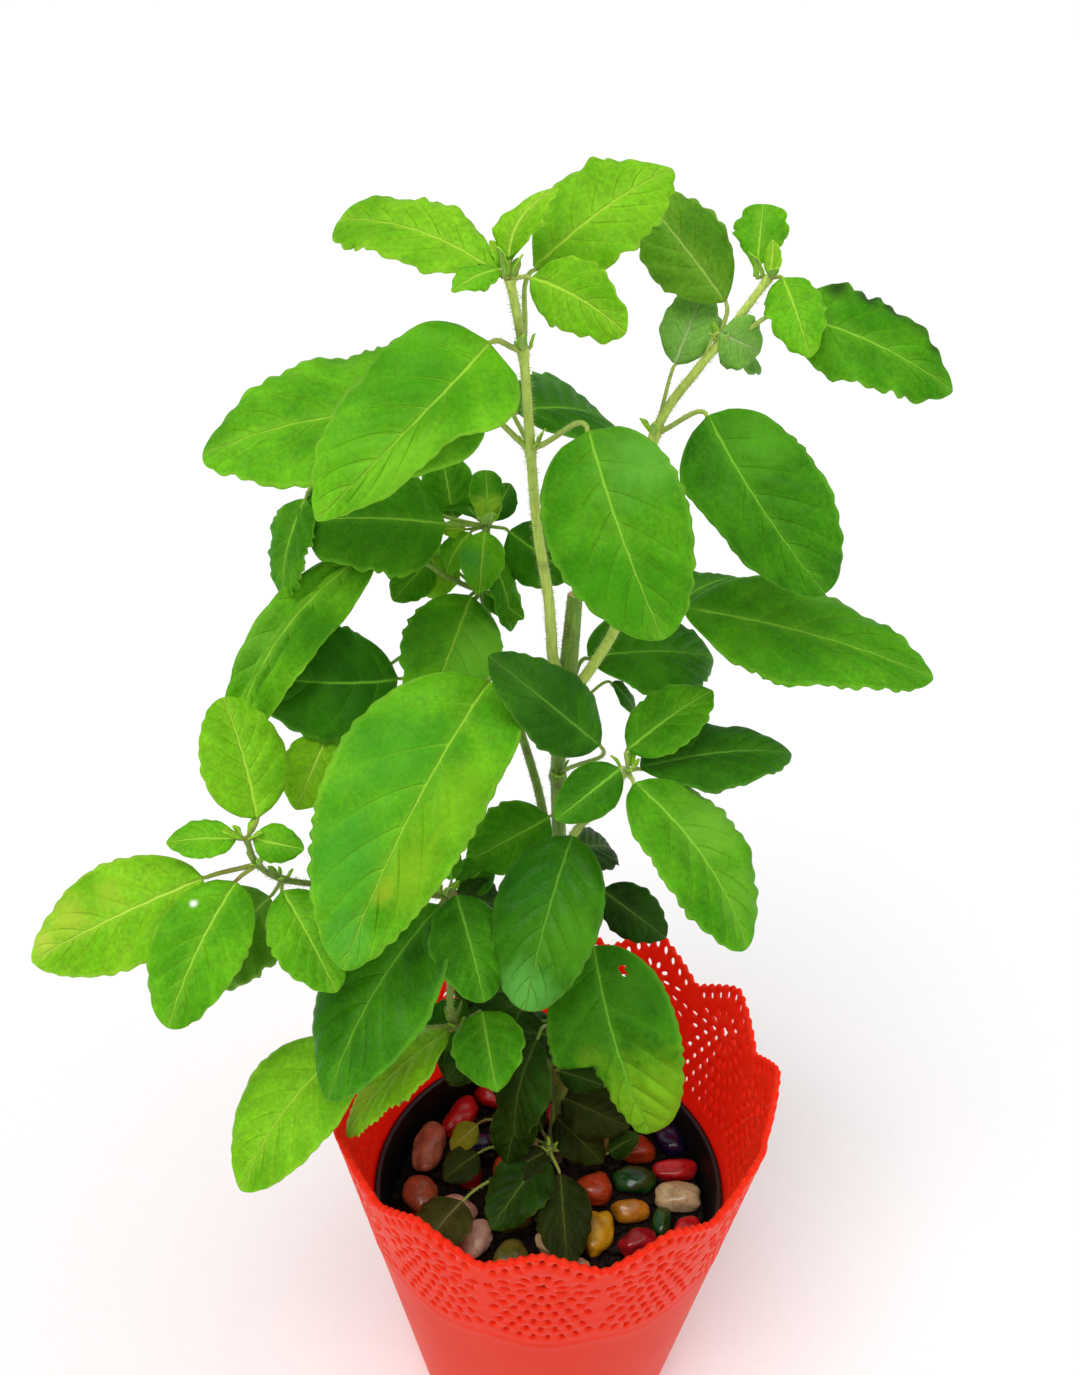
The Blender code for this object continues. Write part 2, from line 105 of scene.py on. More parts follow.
# Each stem: its joints in millimetres, its radius at each or only at root and tip, and its leaves.
# Each leaf: its joint, the turn, rise and length of its petiole, the turn, rise, length, width and roll of its
# blade, its tone, and how far its midrib bows to the side as a share of its length.
STEMS = {
    "main_stem": {
        "joints": [
            (2, 17, 46), (2, 17, 73), (3, 17, 107), (1, 16, 140), (1, 15, 190), (-1, 14, 236), (0, 13, 257),
            (1, 13, 274), (2, 13, 294),
        ],
        "radii": [2.6, 2.6, 2.3, 2.1, 1.9, 1.9, 2, 2.3, 1.9],
        "bark": "woody",
        "leaves": [
            (6, 315, 39, 35, 321, -47, 80, 47, -34, "fresh", 0.03),
            (6, 136, 57, 17, 123, -17, 46, 24, 0, "deep", 0),
            (6, 116, 23, 16, 119, -55, 14, 8, 34, "shade", 0.05),
            (5, 25, 53, 25, 263, 40, 37, 22, -38, "shade", -0.03),
            (5, 339, -60, 12, 295, -18, 26, 20, -46, "mid", 0),
            (4, 160, 51, 15, 146, -32, 28, 17, 32, "dark", 0),
            (4, 104, 7, 13, 73, -32, 24, 16, 49, "dark", 0),
            (4, 42, -27, 17, 34, -56, 58, 38, 28, "deep", 0.04),
        ],
    },
    "shoot_centre": {
        "joints": [
            (1, 13, 266), (-3, 11, 275), (-4, 10, 285), (-5, 9, 296), (-8, 7, 315), (-10, 4, 337),
            (-12, 0, 362), (-15, -3, 379),
        ],
        "radii": [1.6, 1.0],
        "bark": "green",
        "leaves": [
            (7, 290, 25, 4, 246, 9, 40, 25, -24, "bright", 0.04),
            (7, 310, 35, 4, 315, -10, 13, 8, -15, "fresh", 0),
            (7, 180, 80, 4, 165, 68, 14, 8, -20, "young", 0),
            (6, 160, 68, 18, 119, 28, 39, 27, 30, "bright", 0),
            (7, 55, 10, 6, 55, -16, 25, 15, 60, "bright", -0.05),
            (6, 310, 20, 10, 304, -36, 54, 36, -34, "fresh", -0.04),
            (5, 280, 37, 13, 275, -7, 66, 39, -28, "fresh", 0.03),
            (5, 52, 28, 19, 42, -57, 50, 33, 40, "mid", 0.02),
            (5, 200, 27, 12, 140, -21, 41, 24, 24, "deep", 0),
        ],
    },
    "shoot_right": {
        "joints": [
            (1, 13, 262), (8, 16, 272), (14, 20, 283), (19, 24, 304), (21, 28, 332), (31, 32, 348),
            (36, 34, 354), (47, 38, 369),
        ],
        "radii": [1.6, 1.0],
        "bark": "green",
        "leaves": [
            (6, 170, 65, 10, 238, 41, 35, 21, -50, "olive", 0),
            (7, 200, 30, 3, 171, 50, 19, 12, 0, "fresh", 0),
            (7, 50, 10, 4, 17, -36, 23, 14, 18, "fresh", 0),
            (6, 90, 17, 16, 82, -14, 44, 25, 39, "mid", 0.03),
            (4, 138, 70, 18, 154, 39, 23, 14, 22, "grey", 0),
            (6, 155, -25, 6, 152, -16, 28, 16, 36, "grey", 0),
            (4, 60, 32, 14, 52, -44, 52, 34, 39, "deep", 0.05),
            (2, 145, -17, 30, 135, -2, 30, 17, 0, "deep", 0),
            (2, 103, 5, 18, 82, -12, 69, 38, 22, "mid", 0.02),
        ],
    },
    "shoot_back": {
        "joints": [
            (1, 15, 184), (-2, 20, 200), (-6, 24, 222), (-12, 30, 241), (-15, 33, 252), (-23, 38, 281),
            (-22, 40, 300),
        ],
        "radii": [1.4, 0.9],
        "bark": "woody",
        "leaves": [
            (6, 0, 63, 3, 187, 76, 13, 8, 10, "mid", 0),
            (6, 232, 19, 4, 210, -3, 19, 12, 5, "shade", 0),
            (6, 290, 10, 12, 283, 6, 36, 22, -43, "mid", 0),
            (6, 107, -20, 7, 84, -39, 24, 17, 65, "deep", 0),
            (6, 355, 0, 4, 355, -50, 17, 11, -7, "fresh", 0),
            (5, 55, 70, 11, 30, -58, 17, 10, -20, "mid", 0),
            (5, 290, 31, 8, 231, 0, 19, 11, -54, "lime", 0),
            (5, 330, 10, 6, 335, -42, 36, 27, -28, "fresh", 0),
            (5, 292, 24, 36, 314, -52, 61, 34, -8, "fresh", -0.05),
            (5, 305, -35, 34, 300, 8, 36, 26, -60, "deep", 0),
            (5, 302, -33, 58, 332, -44, 22, 17, -28, "lime", 0),
            (6, 282, 13, 49, 311, -71, 28, 13, 3, "mid", 0),
        ],
    },
    "shoot_front": {
        "joints": [(1, 15, 194), (2, 12, 204), (3, 9, 217), (7, 5, 228), (11, 2, 237), (17, -4, 251)],
        "radii": [1.3, 0.9],
        "bark": "green",
        "leaves": [
            (5, 180, 80, 6, 121, 22, 28, 17, 24, "mid", 0),
            (5, 137, -20, 6, 109, -5, 45, 25, 7, "shade", 0.02),
            (5, 330, 35, 6, 297, -30, 21, 14, -45, "deep", 0),
            (5, 20, -8, 5, 54, -44, 52, 30, 15, "mid", -0.04),
            (3, 337, 6, 10, 338, -50, 48, 29, -16, "shade", 0.02),
        ],
    },
    "shoot_left": {
        "joints": [
            (1, 15, 176), (-8, 11, 188), (-25, 5, 198), (-44, -5, 209), (-62, -15, 219), (-73, -20, 225),
            (-78, -25, 234), (-80, -25, 242),
        ],
        "radii": [1.2, 0.65],
        "bark": "reddish",
        "leaves": [
            (7, 140, 50, 6, 208, 48, 32, 22, -7, "bright", 0.02),
            (7, 300, 20, 3, 277, 0, 17, 11, -29, "fresh", 0),
            (7, 57, 24, 3, 81, -5, 13, 10, 49, "fresh", 0),
            (6, 286, -9, 14, 286, -22, 48, 28, -39, "young", 0),
            (6, 312, -22, 7, 331, -41, 39, 23, -25, "fresh", 0.03),
            (5, 10, 0, 5, 42, -40, 32, 22, 13, "fresh", 0),
            (5, 250, -60, 9, 300, -45, 26, 19, -50, "olive", 0),
        ],
    },
    "sprig_left": {
        "joints": [
            (2, 16, 112), (-2, 14, 123), (-16, 2, 143), (-29, -10, 163), (-30, -11, 189),
            (-31, -10, 212),
        ],
        "radii": [1.3, 0.8],
        "bark": "reddish",
        "leaves": [
            (5, 35, 36, 7, 24, -46, 29, 16, -8, "deep", 0.02),
            (5, 90, 75, 6, 190, 30, 10, 7, 0, "deep", 0),
            (5, 340, -5, 4, 319, -43, 59, 34, -2, "deep", 0.02),
            (3, 293, 9, 31, 314, -36, 50, 31, -9, "bright", 0.04),
            (3, 321, -10, 3, 297, -40, 43, 20, 15, "lime", 0),
            (3, 65, 20, 6, 15, -34, 19, 15, 14, "mid", 0),
        ],
    },
    "sprig_foot": {
        "joints": [(2, 17, 80), (1, 10, 88), (0, 4, 93)],
        "radii": [1.1, 0.8],
        "bark": "reddish",
        "leaves": [
            (1, 245, 53, 7, 246, 55, 34, 19, 0, "dark", 0),
            (1, 90, 30, 4, 120, 15, 16, 12, 0, "murky", 0),
            (1, 265, 15, 26, 300, -35, 12, 9, -20, "sallow", 0),
            (1, 281, 2, 25, 310, -10, 14, 12, -10, "murky", 0),
            (2, 330, 30, 3, 300, -12, 16, 13, -10, "murky", 0),
            (2, 330, 0, 3, 324, -14, 29, 20, -10, "dark", 0),
            (2, 303, -7, 33, 325, -6, 17, 14, 0, "bronze", 0),
            (2, 10, 10, 4, 5, -16, 33, 18, 5, "murky", 0),
        ],
    },
}

# Pebbles: colour, place on the soil in millimetres, turn, then length, width and height in millimetres
PEBBLES = [
    ("pink_brown", -41, 18, 80, 21, 11, 9), ("red", -31, 32, 60, 17, 9, 8), ("rust", -42, -1, 90, 15, 12, 9),
    ("dark_red", -43, -15, 120, 13, 9, 8), ("white", -30, -6, 165, 14, 9, 8),
    ("white", -23, -17, 60, 14, 10, 8), ("olive", -12, -24, 50, 13, 10, 8), ("white", -6, -36, 100, 14, 8, 7),
    ("orange", 15, 3, 10, 13, 11, 9), ("dark_green", 29, 7, 0, 15, 10, 8), ("red", 43, 12, 5, 16, 8, 7),
    ("beige", 43, 1, 0, 16, 10, 8), ("red", 45, -13, 60, 12, 9, 8), ("yellow", 16, -14, 80, 16, 10, 9),
    ("orange", 27, -5, 0, 13, 8, 8), ("crimson", 29, -17, 30, 13, 9, 8), ("dark_green", 37, -9, 80, 11, 6, 7),
    ("orange", 30, 20, 0, 13, 10, 8), ("navy", 42, 24, 120, 13, 9, 8), ("red", 20, 39, 80, 16, 10, 8),
    ("red", -20, 42, 150, 14, 9, 8), ("rust", 8, 46, 170, 13, 9, 8), ("olive", -6, 47, 10, 13, 9, 8),
    ("white", -13, 31, 30, 14, 10, 8), ("navy", -26, 20, 20, 14, 10, 8), ("orange", -13, 8, 110, 14, 10, 9),
    ("crimson", 4, -7, 150, 13, 9, 8), ("beige", 32, 35, 140, 14, 9, 8), ("olive", 17, 22, 60, 13, 9, 8),
    ("white", 9, -31, 70, 14, 9, 8), ("dark_green", 24, -32, 140, 14, 9, 8),
    ("orange", -23, -33, 20, 14, 10, 8), ("yellow", -36, -28, 130, 13, 9, 8),
    ("crimson", 38, -28, 50, 13, 9, 8), ("navy", 3, -46, 0, 13, 8, 8), ("beige", -8, 21, 100, 12, 8, 8),
    ("crimson", -27, 8, 140, 12, 8, 8), ("rust", -16, -44, 165, 13, 8, 8),
    ("dark_red", 17, -44, 15, 13, 8, 8), ("beige", 2, -18, 170, 13, 9, 8), ("olive", -11, -9, 20, 13, 9, 8),
    ("crimson", 4, 34, 10, 13, 9, 8), ("navy", 2, 6, 0, 11, 8, 8),
]

# Leaf tones: the blade's light and dark green, its underside and its veins. The shade, dark and murky tones
# hold painted shade: they are darker than the leaves' own green, for the inner and lowest leaves in the
# canopy's shade; murky is a browner green as well.
TONES = {
    "young": ("#8AC81E", "#68AC0C", "#98C850", "#C4EC54"),
    "bright": ("#80C21C", "#5EA20C", "#8CC252", "#B4E444"),
    "fresh": ("#6CB818", "#4A9408", "#7CB048", "#A6E042"),
    "lime": ("#92CE1A", "#6EAA0E", "#98C048", "#C0E850"),
    "mid": ("#569E10", "#388004", "#74A840", "#92D43E"),
    "olive": ("#649A1E", "#467E10", "#80A84C", "#A0CA56"),
    "grey": ("#80B84A", "#649C34", "#8CB45C", "#B0D484"),
    "deep": ("#428A0C", "#2A6A02", "#689C3C", "#82CA3A"),
    "shade": ("#387A0A", "#245C04", "#609038", "#6EAE36"),
    "dark": ("#2A540A", "#183604", "#2E5A12", "#5E8034"),
    "murky": ("#2E3C0C", "#1A2606", "#34501A", "#566428"),
    "bronze": ("#52521C", "#36380E", "#5E5E2A", "#827E4C"),
    "sallow": ("#8C9218", "#68760E", "#86903E", "#B0B050"),
}
UNDERSIDE_VEIN = "#B4D080"


def linear(colour):
    """Linear red, green, blue and alpha from an sRGB hex value."""
    values = [int(colour[i:i + 2], 16) / 255 for i in (1, 3, 5)]
    return tuple(v / 12.92 if v <= 0.04045 else ((v + 0.055) / 1.055) ** 2.4 for v in values) + (1.0,)


def plug(tree, node, sockets):
    """Gives each input, by name or number, its value, its sRGB hex colour or the output it is linked to."""
    for name, value in sockets.items():
        if isinstance(value, bpy.types.NodeSocket):
            tree.links.new(value, node.inputs[name])
        else:
            node.inputs[name].default_value = linear(value) if isinstance(value, str) else value


def add(tree, kind, sockets=None, **settings):
    """Adds one shader node with its settings and inputs, and returns its first output in use."""
    made = tree.nodes.new("ShaderNode" + kind)
    for name, value in settings.items():
        setattr(made, name, value)
    plug(tree, made, sockets or {})
    return next(output for output in made.outputs if output.enabled)


# Settings that many nodes share
BLEND = {"data_type": "RGBA"}
SOFT = {"interpolation_type": "SMOOTHSTEP"}
TIMES = {"operation": "MULTIPLY"}


def new_material(name):
    """A material with its node tree, its Principled shader and its coordinates on the body, in metres."""
    made = bpy.data.materials.new(name)
    made.use_nodes = True
    tree = made.node_tree
    body = tree.nodes.new("ShaderNodeTexCoord").outputs["Object"]
    return made, tree, tree.nodes["Principled BSDF"], body


def blade_green(name, light, dark, vein, relief, patches=(), gloss=0.5):
    """Holy basil leaf, living tissue: waxy and finely hairy, so softly shining, and quilted between pale veins.

    relief is 1 for the upper side, whose veins are sunk, and -1 for the underside, whose veins stand out.
    patches are (along, across, radius) in millimetres on the blade, then a colour and how strongly it shows.
    Some are the leaf's own blemishes, others painted light, painted shade and a painted highlight.
    """
    material, tree, shader, body = new_material(name)
    side_green = tuple((a + b) / 2 for a, b in zip(linear(light), linear(vein)))
    place = add(tree, "UVMap", uv_map="place")
    off_middle = add(tree, "SeparateXYZ", {0: place}).node.outputs[1]
    veins = add(tree, "UVMap", uv_map="veins")
    vein_count, sideways = add(tree, "SeparateXYZ", {0: veins}).node.outputs[:2]

    # Side veins wander by about a tenth of their spacing, over 12 mm, and fade towards the margin
    wander = add(tree, "TexNoise", {"Vector": body, "Scale": 80, "Detail": 1})
    wandering = add(tree, "MapRange", {0: wander, 3: -0.1, 4: 0.1})
    phase = add(tree, "Math", {0: vein_count, 1: wandering})
    gap = add(tree, "Math", {0: phase, 1: 0.5}, operation="PINGPONG")
    out = add(tree, "Math", {0: sideways}, operation="ABSOLUTE")
    taper = add(tree, "MapRange", {0: out, 3: 0.075, 4: 0.03})
    side_vein = add(tree, "MapRange", {0: gap, 2: taper, 3: 1, 4: 0}, **SOFT)
    fade = add(tree, "MapRange", {0: out, 1: 0.1, 2: 0.85, 3: 1, 4: 0.1})
    side_line = add(tree, "Math", {0: side_vein, 1: fade}, **TIMES)

    # The midrib reaches 0.9 mm to each side at the foot of the blade and 0.3 mm at its tip
    across = add(tree, "Math", {0: off_middle}, operation="ABSOLUTE")
    rib_width = add(tree, "MapRange", {0: vein_count, 2: VEIN_PAIRS, 3: 0.0009, 4: 0.0003})
    midrib = add(tree, "MapRange", {0: across, 2: rib_width, 3: 1, 4: 0}, **SOFT)

    # The net of the finest veins closes in cells of about 1.4 mm
    net = add(tree, "TexVoronoi", {"Vector": place, "Scale": 700}, feature="DISTANCE_TO_EDGE")
    net_line = add(tree, "MapRange", {0: net, 2: 0.16, 3: 1, 4: 0}, **SOFT)

    # Colour: patches of 15 mm, bands along the side veins, puckers of 4 mm, and a grain of 1 mm that is coarser
    # than the tissue's own so that it shows
    patchy = add(tree, "TexNoise", {"Vector": body, "Scale": 60, "Detail": 3})
    patchy_range = add(tree, "MapRange", {0: patchy, 1: 0.38, 2: 0.62, 3: -0.05, 4: 0.75})
    between = add(tree, "MapRange", {0: gap, 2: 0.35, 4: 0.3}, **SOFT)
    banded = add(tree, "Math", {0: patchy_range, 1: between})
    puckers = add(tree, "TexNoise", {"Vector": body, "Scale": 280})
    mottle = add(tree, "MapRange", {0: puckers, 1: 0.35, 2: 0.65, 3: -0.2, 4: 0.2})
    mottled = add(tree, "Math", {0: banded, 1: mottle}, use_clamp=True)
    tissue = add(tree, "Mix", {0: mottled, 6: light, 7: dark}, **BLEND)
    grain = add(tree, "TexNoise", {"Vector": body, "Scale": 900})
    both = add(tree, "Math", {0: puckers, 1: grain})
    grain_range = add(tree, "MapRange", {0: both, 1: 0.7, 2: 1.3, 3: 0.78, 4: 1.22})
    grained = add(tree, "VectorMath", {0: tissue, 3: grain_range}, operation="SCALE")

    # The tissue pales over the last tenth before the margin and for 3 mm beside the midrib
    edge = add(tree, "MapRange", {0: out, 1: 0.9, 4: 0.35}, **SOFT)
    beside_rib = add(tree, "MapRange", {0: across, 2: 0.003, 3: 0.16, 4: 0}, **SOFT)
    paling = add(tree, "Math", {0: edge, 1: beside_rib})
    colour = add(tree, "Mix", {0: paling, 6: grained, 7: vein}, **BLEND)

    # Patches, blemishes and painted light and shade alike, have edges ragged over 4 mm
    for along_mm, across_mm, radius_mm, hue, strength in patches:
        radius = radius_mm * MM
        ragged = add(tree, "TexNoise", {"Vector": body, "Scale": 260, "Detail": 3})
        shift = add(tree, "MapRange", {0: ragged, 3: -0.4 * radius, 4: 0.4 * radius})
        centre = (along_mm * MM, across_mm * MM, 0)
        apart = add(tree, "VectorMath", {0: place, 1: centre}, operation="DISTANCE")
        reach = add(tree, "Math", {0: apart, 1: shift})
        spread = add(tree, "MapRange", {0: reach, 1: 0.1 * radius, 2: 1.1 * radius, 3: strength, 4: 0}, **SOFT)
        colour = add(tree, "Mix", {0: spread, 6: colour, 7: hue}, **BLEND)
    for line, strength, hue in ((net_line, 0.03, vein), (side_line, 0.36, side_green), (midrib, 0.92, vein)):
        shown = add(tree, "Math", {0: line, 1: strength}, **TIMES)
        colour = add(tree, "Mix", {0: shown, 6: colour, 7: hue}, **BLEND)

    # Relief: the blade drops at its veins, and the net and the grain are a fine pucker
    side_drop = add(tree, "Math", {0: side_line, 1: 0.8}, **TIMES)
    vein_drop = add(tree, "Math", {0: midrib, 1: side_drop}, operation="MAXIMUM")
    net_drop = add(tree, "Math", {0: net_line, 1: 0.1}, **TIMES)
    drop = add(tree, "Math", {0: vein_drop, 1: net_drop})
    grained_drop = add(tree, "Math", {0: both, 1: -0.5, 2: drop}, operation="MULTIPLY_ADD")
    height = add(tree, "Math", {0: grained_drop, 1: -relief}, **TIMES)
    bump = add(tree, "Bump", {"Strength": 0.8 if relief > 0 else 0.25, "Distance": 0.0005, "Height": height})
    sheen = add(tree, "MapRange", {0: patchy, 3: gloss - 0.07, 4: gloss + 0.1})

    # The fine hairs break up most of the skin's reflection, and light passes a little way through the blade
    plug(tree, shader, {
        "Base Color": colour, "Roughness": sheen, "Normal": bump, "IOR": 1.42, "Specular IOR Level": 0.1,
        "Subsurface Weight": 0.2, "Subsurface Radius": (0.4, 1.0, 0.1), "Subsurface Scale": 0.0006,
    })
    return material


def stem_skin(name, light, dark, blush, blush_share):
    """Herb stem, living tissue: soft, ribbed lengthwise, finely hairy, green when young and corky when old."""
    material, tree, shader, body = new_material(name)
    # Lengthwise streaks about 0.6 mm apart and 6 mm long, and blotches of 8 mm
    stretch = add(tree, "VectorMath", {0: body, 1: (1600, 1600, 160)}, **TIMES)
    streaks = add(tree, "TexNoise", {"Vector": stretch, "Scale": 1, "Detail": 3})
    streak_range = add(tree, "MapRange", {0: streaks, 1: 0.3, 2: 0.7})
    base = add(tree, "Mix", {0: streak_range, 6: light, 7: dark}, **BLEND)
    blotches = add(tree, "TexNoise", {"Vector": body, "Scale": 120})
    blotch_range = add(tree, "MapRange", {0: blotches, 1: 0.62 - 0.3 * blush_share, 2: 0.75})
    blushed = add(tree, "Mix", {0: blotch_range, 6: base, 7: blush}, **BLEND)
    bump = add(tree, "Bump", {"Strength": 0.6, "Distance": 0.0003, "Height": streaks})
    plug(tree, shader, {
        "Base Color": blushed, "Normal": bump, "Roughness": 0.6, "IOR": 1.42, "Sheen Weight": 0.2,
    })
    return material


def hair_skin():
    """Plant hairs, living tissue: clear and fine, so they read as a pale fringe, tinted over 2.5 mm."""
    material, tree, shader, body = new_material("basil_hair")
    tint = add(tree, "TexNoise", {"Vector": body, "Scale": 400})
    mixed = add(tree, "Mix", {0: tint, 6: "#D2E69C", 7: "#A2BE5C"}, **BLEND)
    plug(tree, shader, {"Base Color": mixed, "Roughness": 0.5})
    return material


def cut_pith():
    """Cut green stem: pale damp pith, drawn as soft mottling of 1 mm since the cut is only 4 mm wide."""
    material, tree, shader, body = new_material("cut_pith")
    mottle = add(tree, "TexNoise", {"Vector": body, "Scale": 900, "Detail": 3})
    mixed = add(tree, "Mix", {0: mottle, 6: "#E6CF9A", 7: "#9C8A4E"}, **BLEND)
    plug(tree, shader, {"Base Color": mixed, "Roughness": 0.8})
    return material


def moulded_red():
    """Polypropylene, injection moulded: satin, a little waxy, with soft flow marks and an orange-peel skin."""
    material, tree, shader, body = new_material("moulded_polypropylene_red")
    # Flow marks 25 mm wide, and the orange-peel skin about 1.2 mm across
    flow = add(tree, "TexNoise", {"Vector": body, "Scale": 40})
    mixed = add(tree, "Mix", {0: flow, 6: "#F83219", 7: "#EE2A14"}, **BLEND)
    peel = add(tree, "TexNoise", {"Vector": body, "Scale": 800})
    bump = add(tree, "Bump", {"Strength": 0.25, "Distance": 0.0002, "Height": peel})
    rough = add(tree, "MapRange", {0: flow, 3: 0.32, 4: 0.46})
    # Light passes through the thin wall and comes out a deeper red
    plug(tree, shader, {
        "Base Color": mixed, "Normal": bump, "Roughness": rough, "IOR": 1.49, "Specular IOR Level": 0.05,
        "Subsurface Weight": 1.0, "Subsurface Radius": (1.0, 0.08, 0.04), "Subsurface Scale": 0.008,
    })
    return material


def formed_black():
    """Polythene, vacuum formed: thin, dull black with faint rings and dust."""
    material, tree, shader, body = new_material("formed_polythene_black")
    # Rings from the forming, 3 mm apart, and dust that gathers over 6 mm
    stretch = add(tree, "VectorMath", {0: body, 1: (20, 20, 330)}, **TIMES)
    rings = add(tree, "TexNoise", {"Vector": stretch, "Scale": 1, "Detail": 1})
    dust = add(tree, "TexNoise", {"Vector": body, "Scale": 160, "Detail": 6})
    dust_range = add(tree, "MapRange", {0: dust, 1: 0.5, 2: 0.8, 4: 0.5})
    # Painted shade: the black is darker than the pot's own, for its inside in the shade under the leaves.
    mixed = add(tree, "Mix", {0: dust_range, 6: "#0E0C0C", 7: "#231D19"}, **BLEND)
    bump = add(tree, "Bump", {"Strength": 0.4, "Distance": 0.0004, "Height": rings})
    plug(tree, shader, {"Base Color": mixed, "Normal": bump, "Roughness": 0.42, "IOR": 1.51})
    return material


def potting_mix():
    """Potting mix of coir and compost: damp, nearly black, with brown fibres and a crumbly surface."""
    material, tree, shader, body = new_material("potting_mix")
    # Crumbs 1.5 mm across, browner and blacker over 2 mm
    crumbs = add(tree, "TexVoronoi", {"Vector": body, "Scale": 650})
    grains = add(tree, "TexNoise", {"Vector": body, "Scale": 500, "Detail": 6})
    # Painted shade: the brown and black are darker than the damp mix's own, for the soil in the shade under the
    # leaves.
    mixed = add(tree, "Mix", {0: grains, 6: "#0A0706", 7: "#2E2017"}, **BLEND)
    bump = add(tree, "Bump", {"Strength": 1, "Distance": 0.001, "Height": crumbs})
    plug(tree, shader, {"Base Color": mixed, "Normal": bump, "Roughness": 0.9, "Specular IOR Level": 0.2})
    return material


def tumbled_stone(name, main, second, fleck):
    """River pebble, tumbled, dyed and waxed: glossy, cloudy within, with darker flecks and hairline cracks."""
    material, tree, shader, body = new_material("tumbled_stone_" + name)
    # Clouds 5 mm across, flecks 0.8 mm and cracks 4 mm apart
    clouds = add(tree, "TexNoise", {"Vector": body, "Scale": 200, "Detail": 4})
    cloud_range = add(tree, "MapRange", {0: clouds, 1: 0.35, 2: 0.65})
    cloudy = add(tree, "Mix", {0: cloud_range, 6: main, 7: second}, **BLEND)
    flecks = add(tree, "TexNoise", {"Vector": body, "Scale": 1200})
    fleck_range = add(tree, "MapRange", {0: flecks, 1: 0.6, 2: 0.7, 4: 0.5})
    flecked = add(tree, "Mix", {0: fleck_range, 6: cloudy, 7: fleck}, **BLEND)
    cracks = add(tree, "TexVoronoi", {"Vector": body, "Scale": 240}, feature="DISTANCE_TO_EDGE")
    crack_range = add(tree, "MapRange", {0: cracks, 2: 0.03, 3: 0.4, 4: 0})
    cracked = add(tree, "Mix", {0: crack_range, 6: flecked, 7: fleck}, **BLEND)
    bump = add(tree, "Bump", {"Strength": 0.3, "Distance": 0.0003, "Height": clouds})
    rough = add(tree, "MapRange", {0: flecks, 3: 0.16, 4: 0.36})
    plug(tree, shader, {"Base Color": cracked, "Normal": bump, "Roughness": rough, "IOR": 1.54})
    return material


# Pebble colours: the main colour, a second one that clouds it, and its flecks
STONES = {
    "pink_brown": ("#CC7A58", "#A85A42", "#4A2A22"),
    "red": ("#D01A1C", "#9C0E12", "#4A0A0C"),
    "rust": ("#BE5E3A", "#9A4628", "#4A2414"),
    "dark_red": ("#70121A", "#4C0A10", "#26060A"),
    "white": ("#ECC4A8", "#C4967A", "#5A3A2C"),
    "olive": ("#6C6A22", "#4A4A12", "#24260A"),
    "orange": ("#C4481C", "#963410", "#4A1A0A"),
    "dark_green": ("#1C4E18", "#10320E", "#08200A"),
    "beige": ("#D4BC90", "#AA9262", "#54482E"),
    "yellow": ("#D2A416", "#A0780A", "#5A4208"),
    "crimson": ("#A4141E", "#760A14", "#380810"),
    "navy": ("#1E1240", "#120A2A", "#08061A"),
    "ochre": ("#BE7E1C", "#8E5A10", "#4A300A"),
}
# This one looks ochre, although its slot is the orange one
OCHRE_PEBBLE = 15


def heading(turn, rise):
    """The unit vector at this turn from the front and this rise from level."""
    turn = math.radians(turn)
    rise = math.radians(rise)
    return np.array([math.sin(turn) * math.cos(rise), -math.cos(turn) * math.cos(rise), math.sin(rise)])


def unit(vector):
    return vector / np.linalg.norm(vector)


class Build:
    """Collects the corners and faces of one mesh, in millimetres. finish is a material's number on the piece."""

    def __init__(self):
        self.corners = []
        self.faces = []
        self.finish = []

    def add(self, corners, faces, finish=0):
        """Adds corners and the faces between them, and gives the number of the first corner."""
        start = len(self.corners)
        self.corners.extend(tuple(corner) for corner in corners)
        self.join(start, faces, finish)
        return start

    def join(self, start, faces, finish=0):
        """Adds faces between corners that are already there, counted from start."""
        self.faces.extend(tuple(start + corner for corner in face) for face in faces)
        self.finish.extend([finish] * len(faces))

    def mesh(self, name):
        mesh = bpy.data.meshes.new(name)
        mesh.from_pydata([[value * MM for value in corner] for corner in self.corners], [], self.faces)
        mesh.polygons.foreach_set("material_index", self.finish)
        mesh.shade_smooth()
        return mesh


def reverse(faces):
    return [tuple(reversed(face)) for face in faces]


def bands(rings, columns):
    """The faces between each ring of corners and the next, each ring having this many columns."""
    faces = []
    for ring in range(0, (rings - 1) * columns, columns):
        for column in range(columns):
            here = ring + column
            beside = ring + (column + 1) % columns
            faces.append((here, beside, beside + columns, here + columns))
    return faces


def ball(subdivisions):
    """Corners and faces of a round ball with a radius of 1."""
    bm = bmesh.new()
    bmesh.ops.create_icosphere(bm, subdivisions=subdivisions, radius=1)
    corners = np.array([vert.co for vert in bm.verts])
    faces = [tuple(vert.index for vert in face.verts) for face in bm.faces]
    bm.free()
    return corners, faces


def put(name, mesh, materials, slot, *nodes, sharp=None):
    """Adds the mesh as a piece that rides on the one body and stands for these nodes."""
    if sharp:
        mesh.set_sharp_from_angle(angle=math.radians(sharp))
    obj = bpy.data.objects.new(name, mesh)
    bpy.context.scene.collection.objects.link(obj)
    for material in materials:
        mesh.materials.append(material)
    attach(obj, "root")
    if nodes:
        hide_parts(*nodes)


def weld(mesh, distance):
    """Joins corners that are this close, and clears the faces that vanish with it."""
    bm = bmesh.new()
    bm.from_mesh(mesh)
    bmesh.ops.remove_doubles(bm, verts=bm.verts, dist=distance)
    bmesh.ops.dissolve_degenerate(bm, edges=bm.edges, dist=distance / 10)
    bm.to_mesh(mesh)
    bm.free()


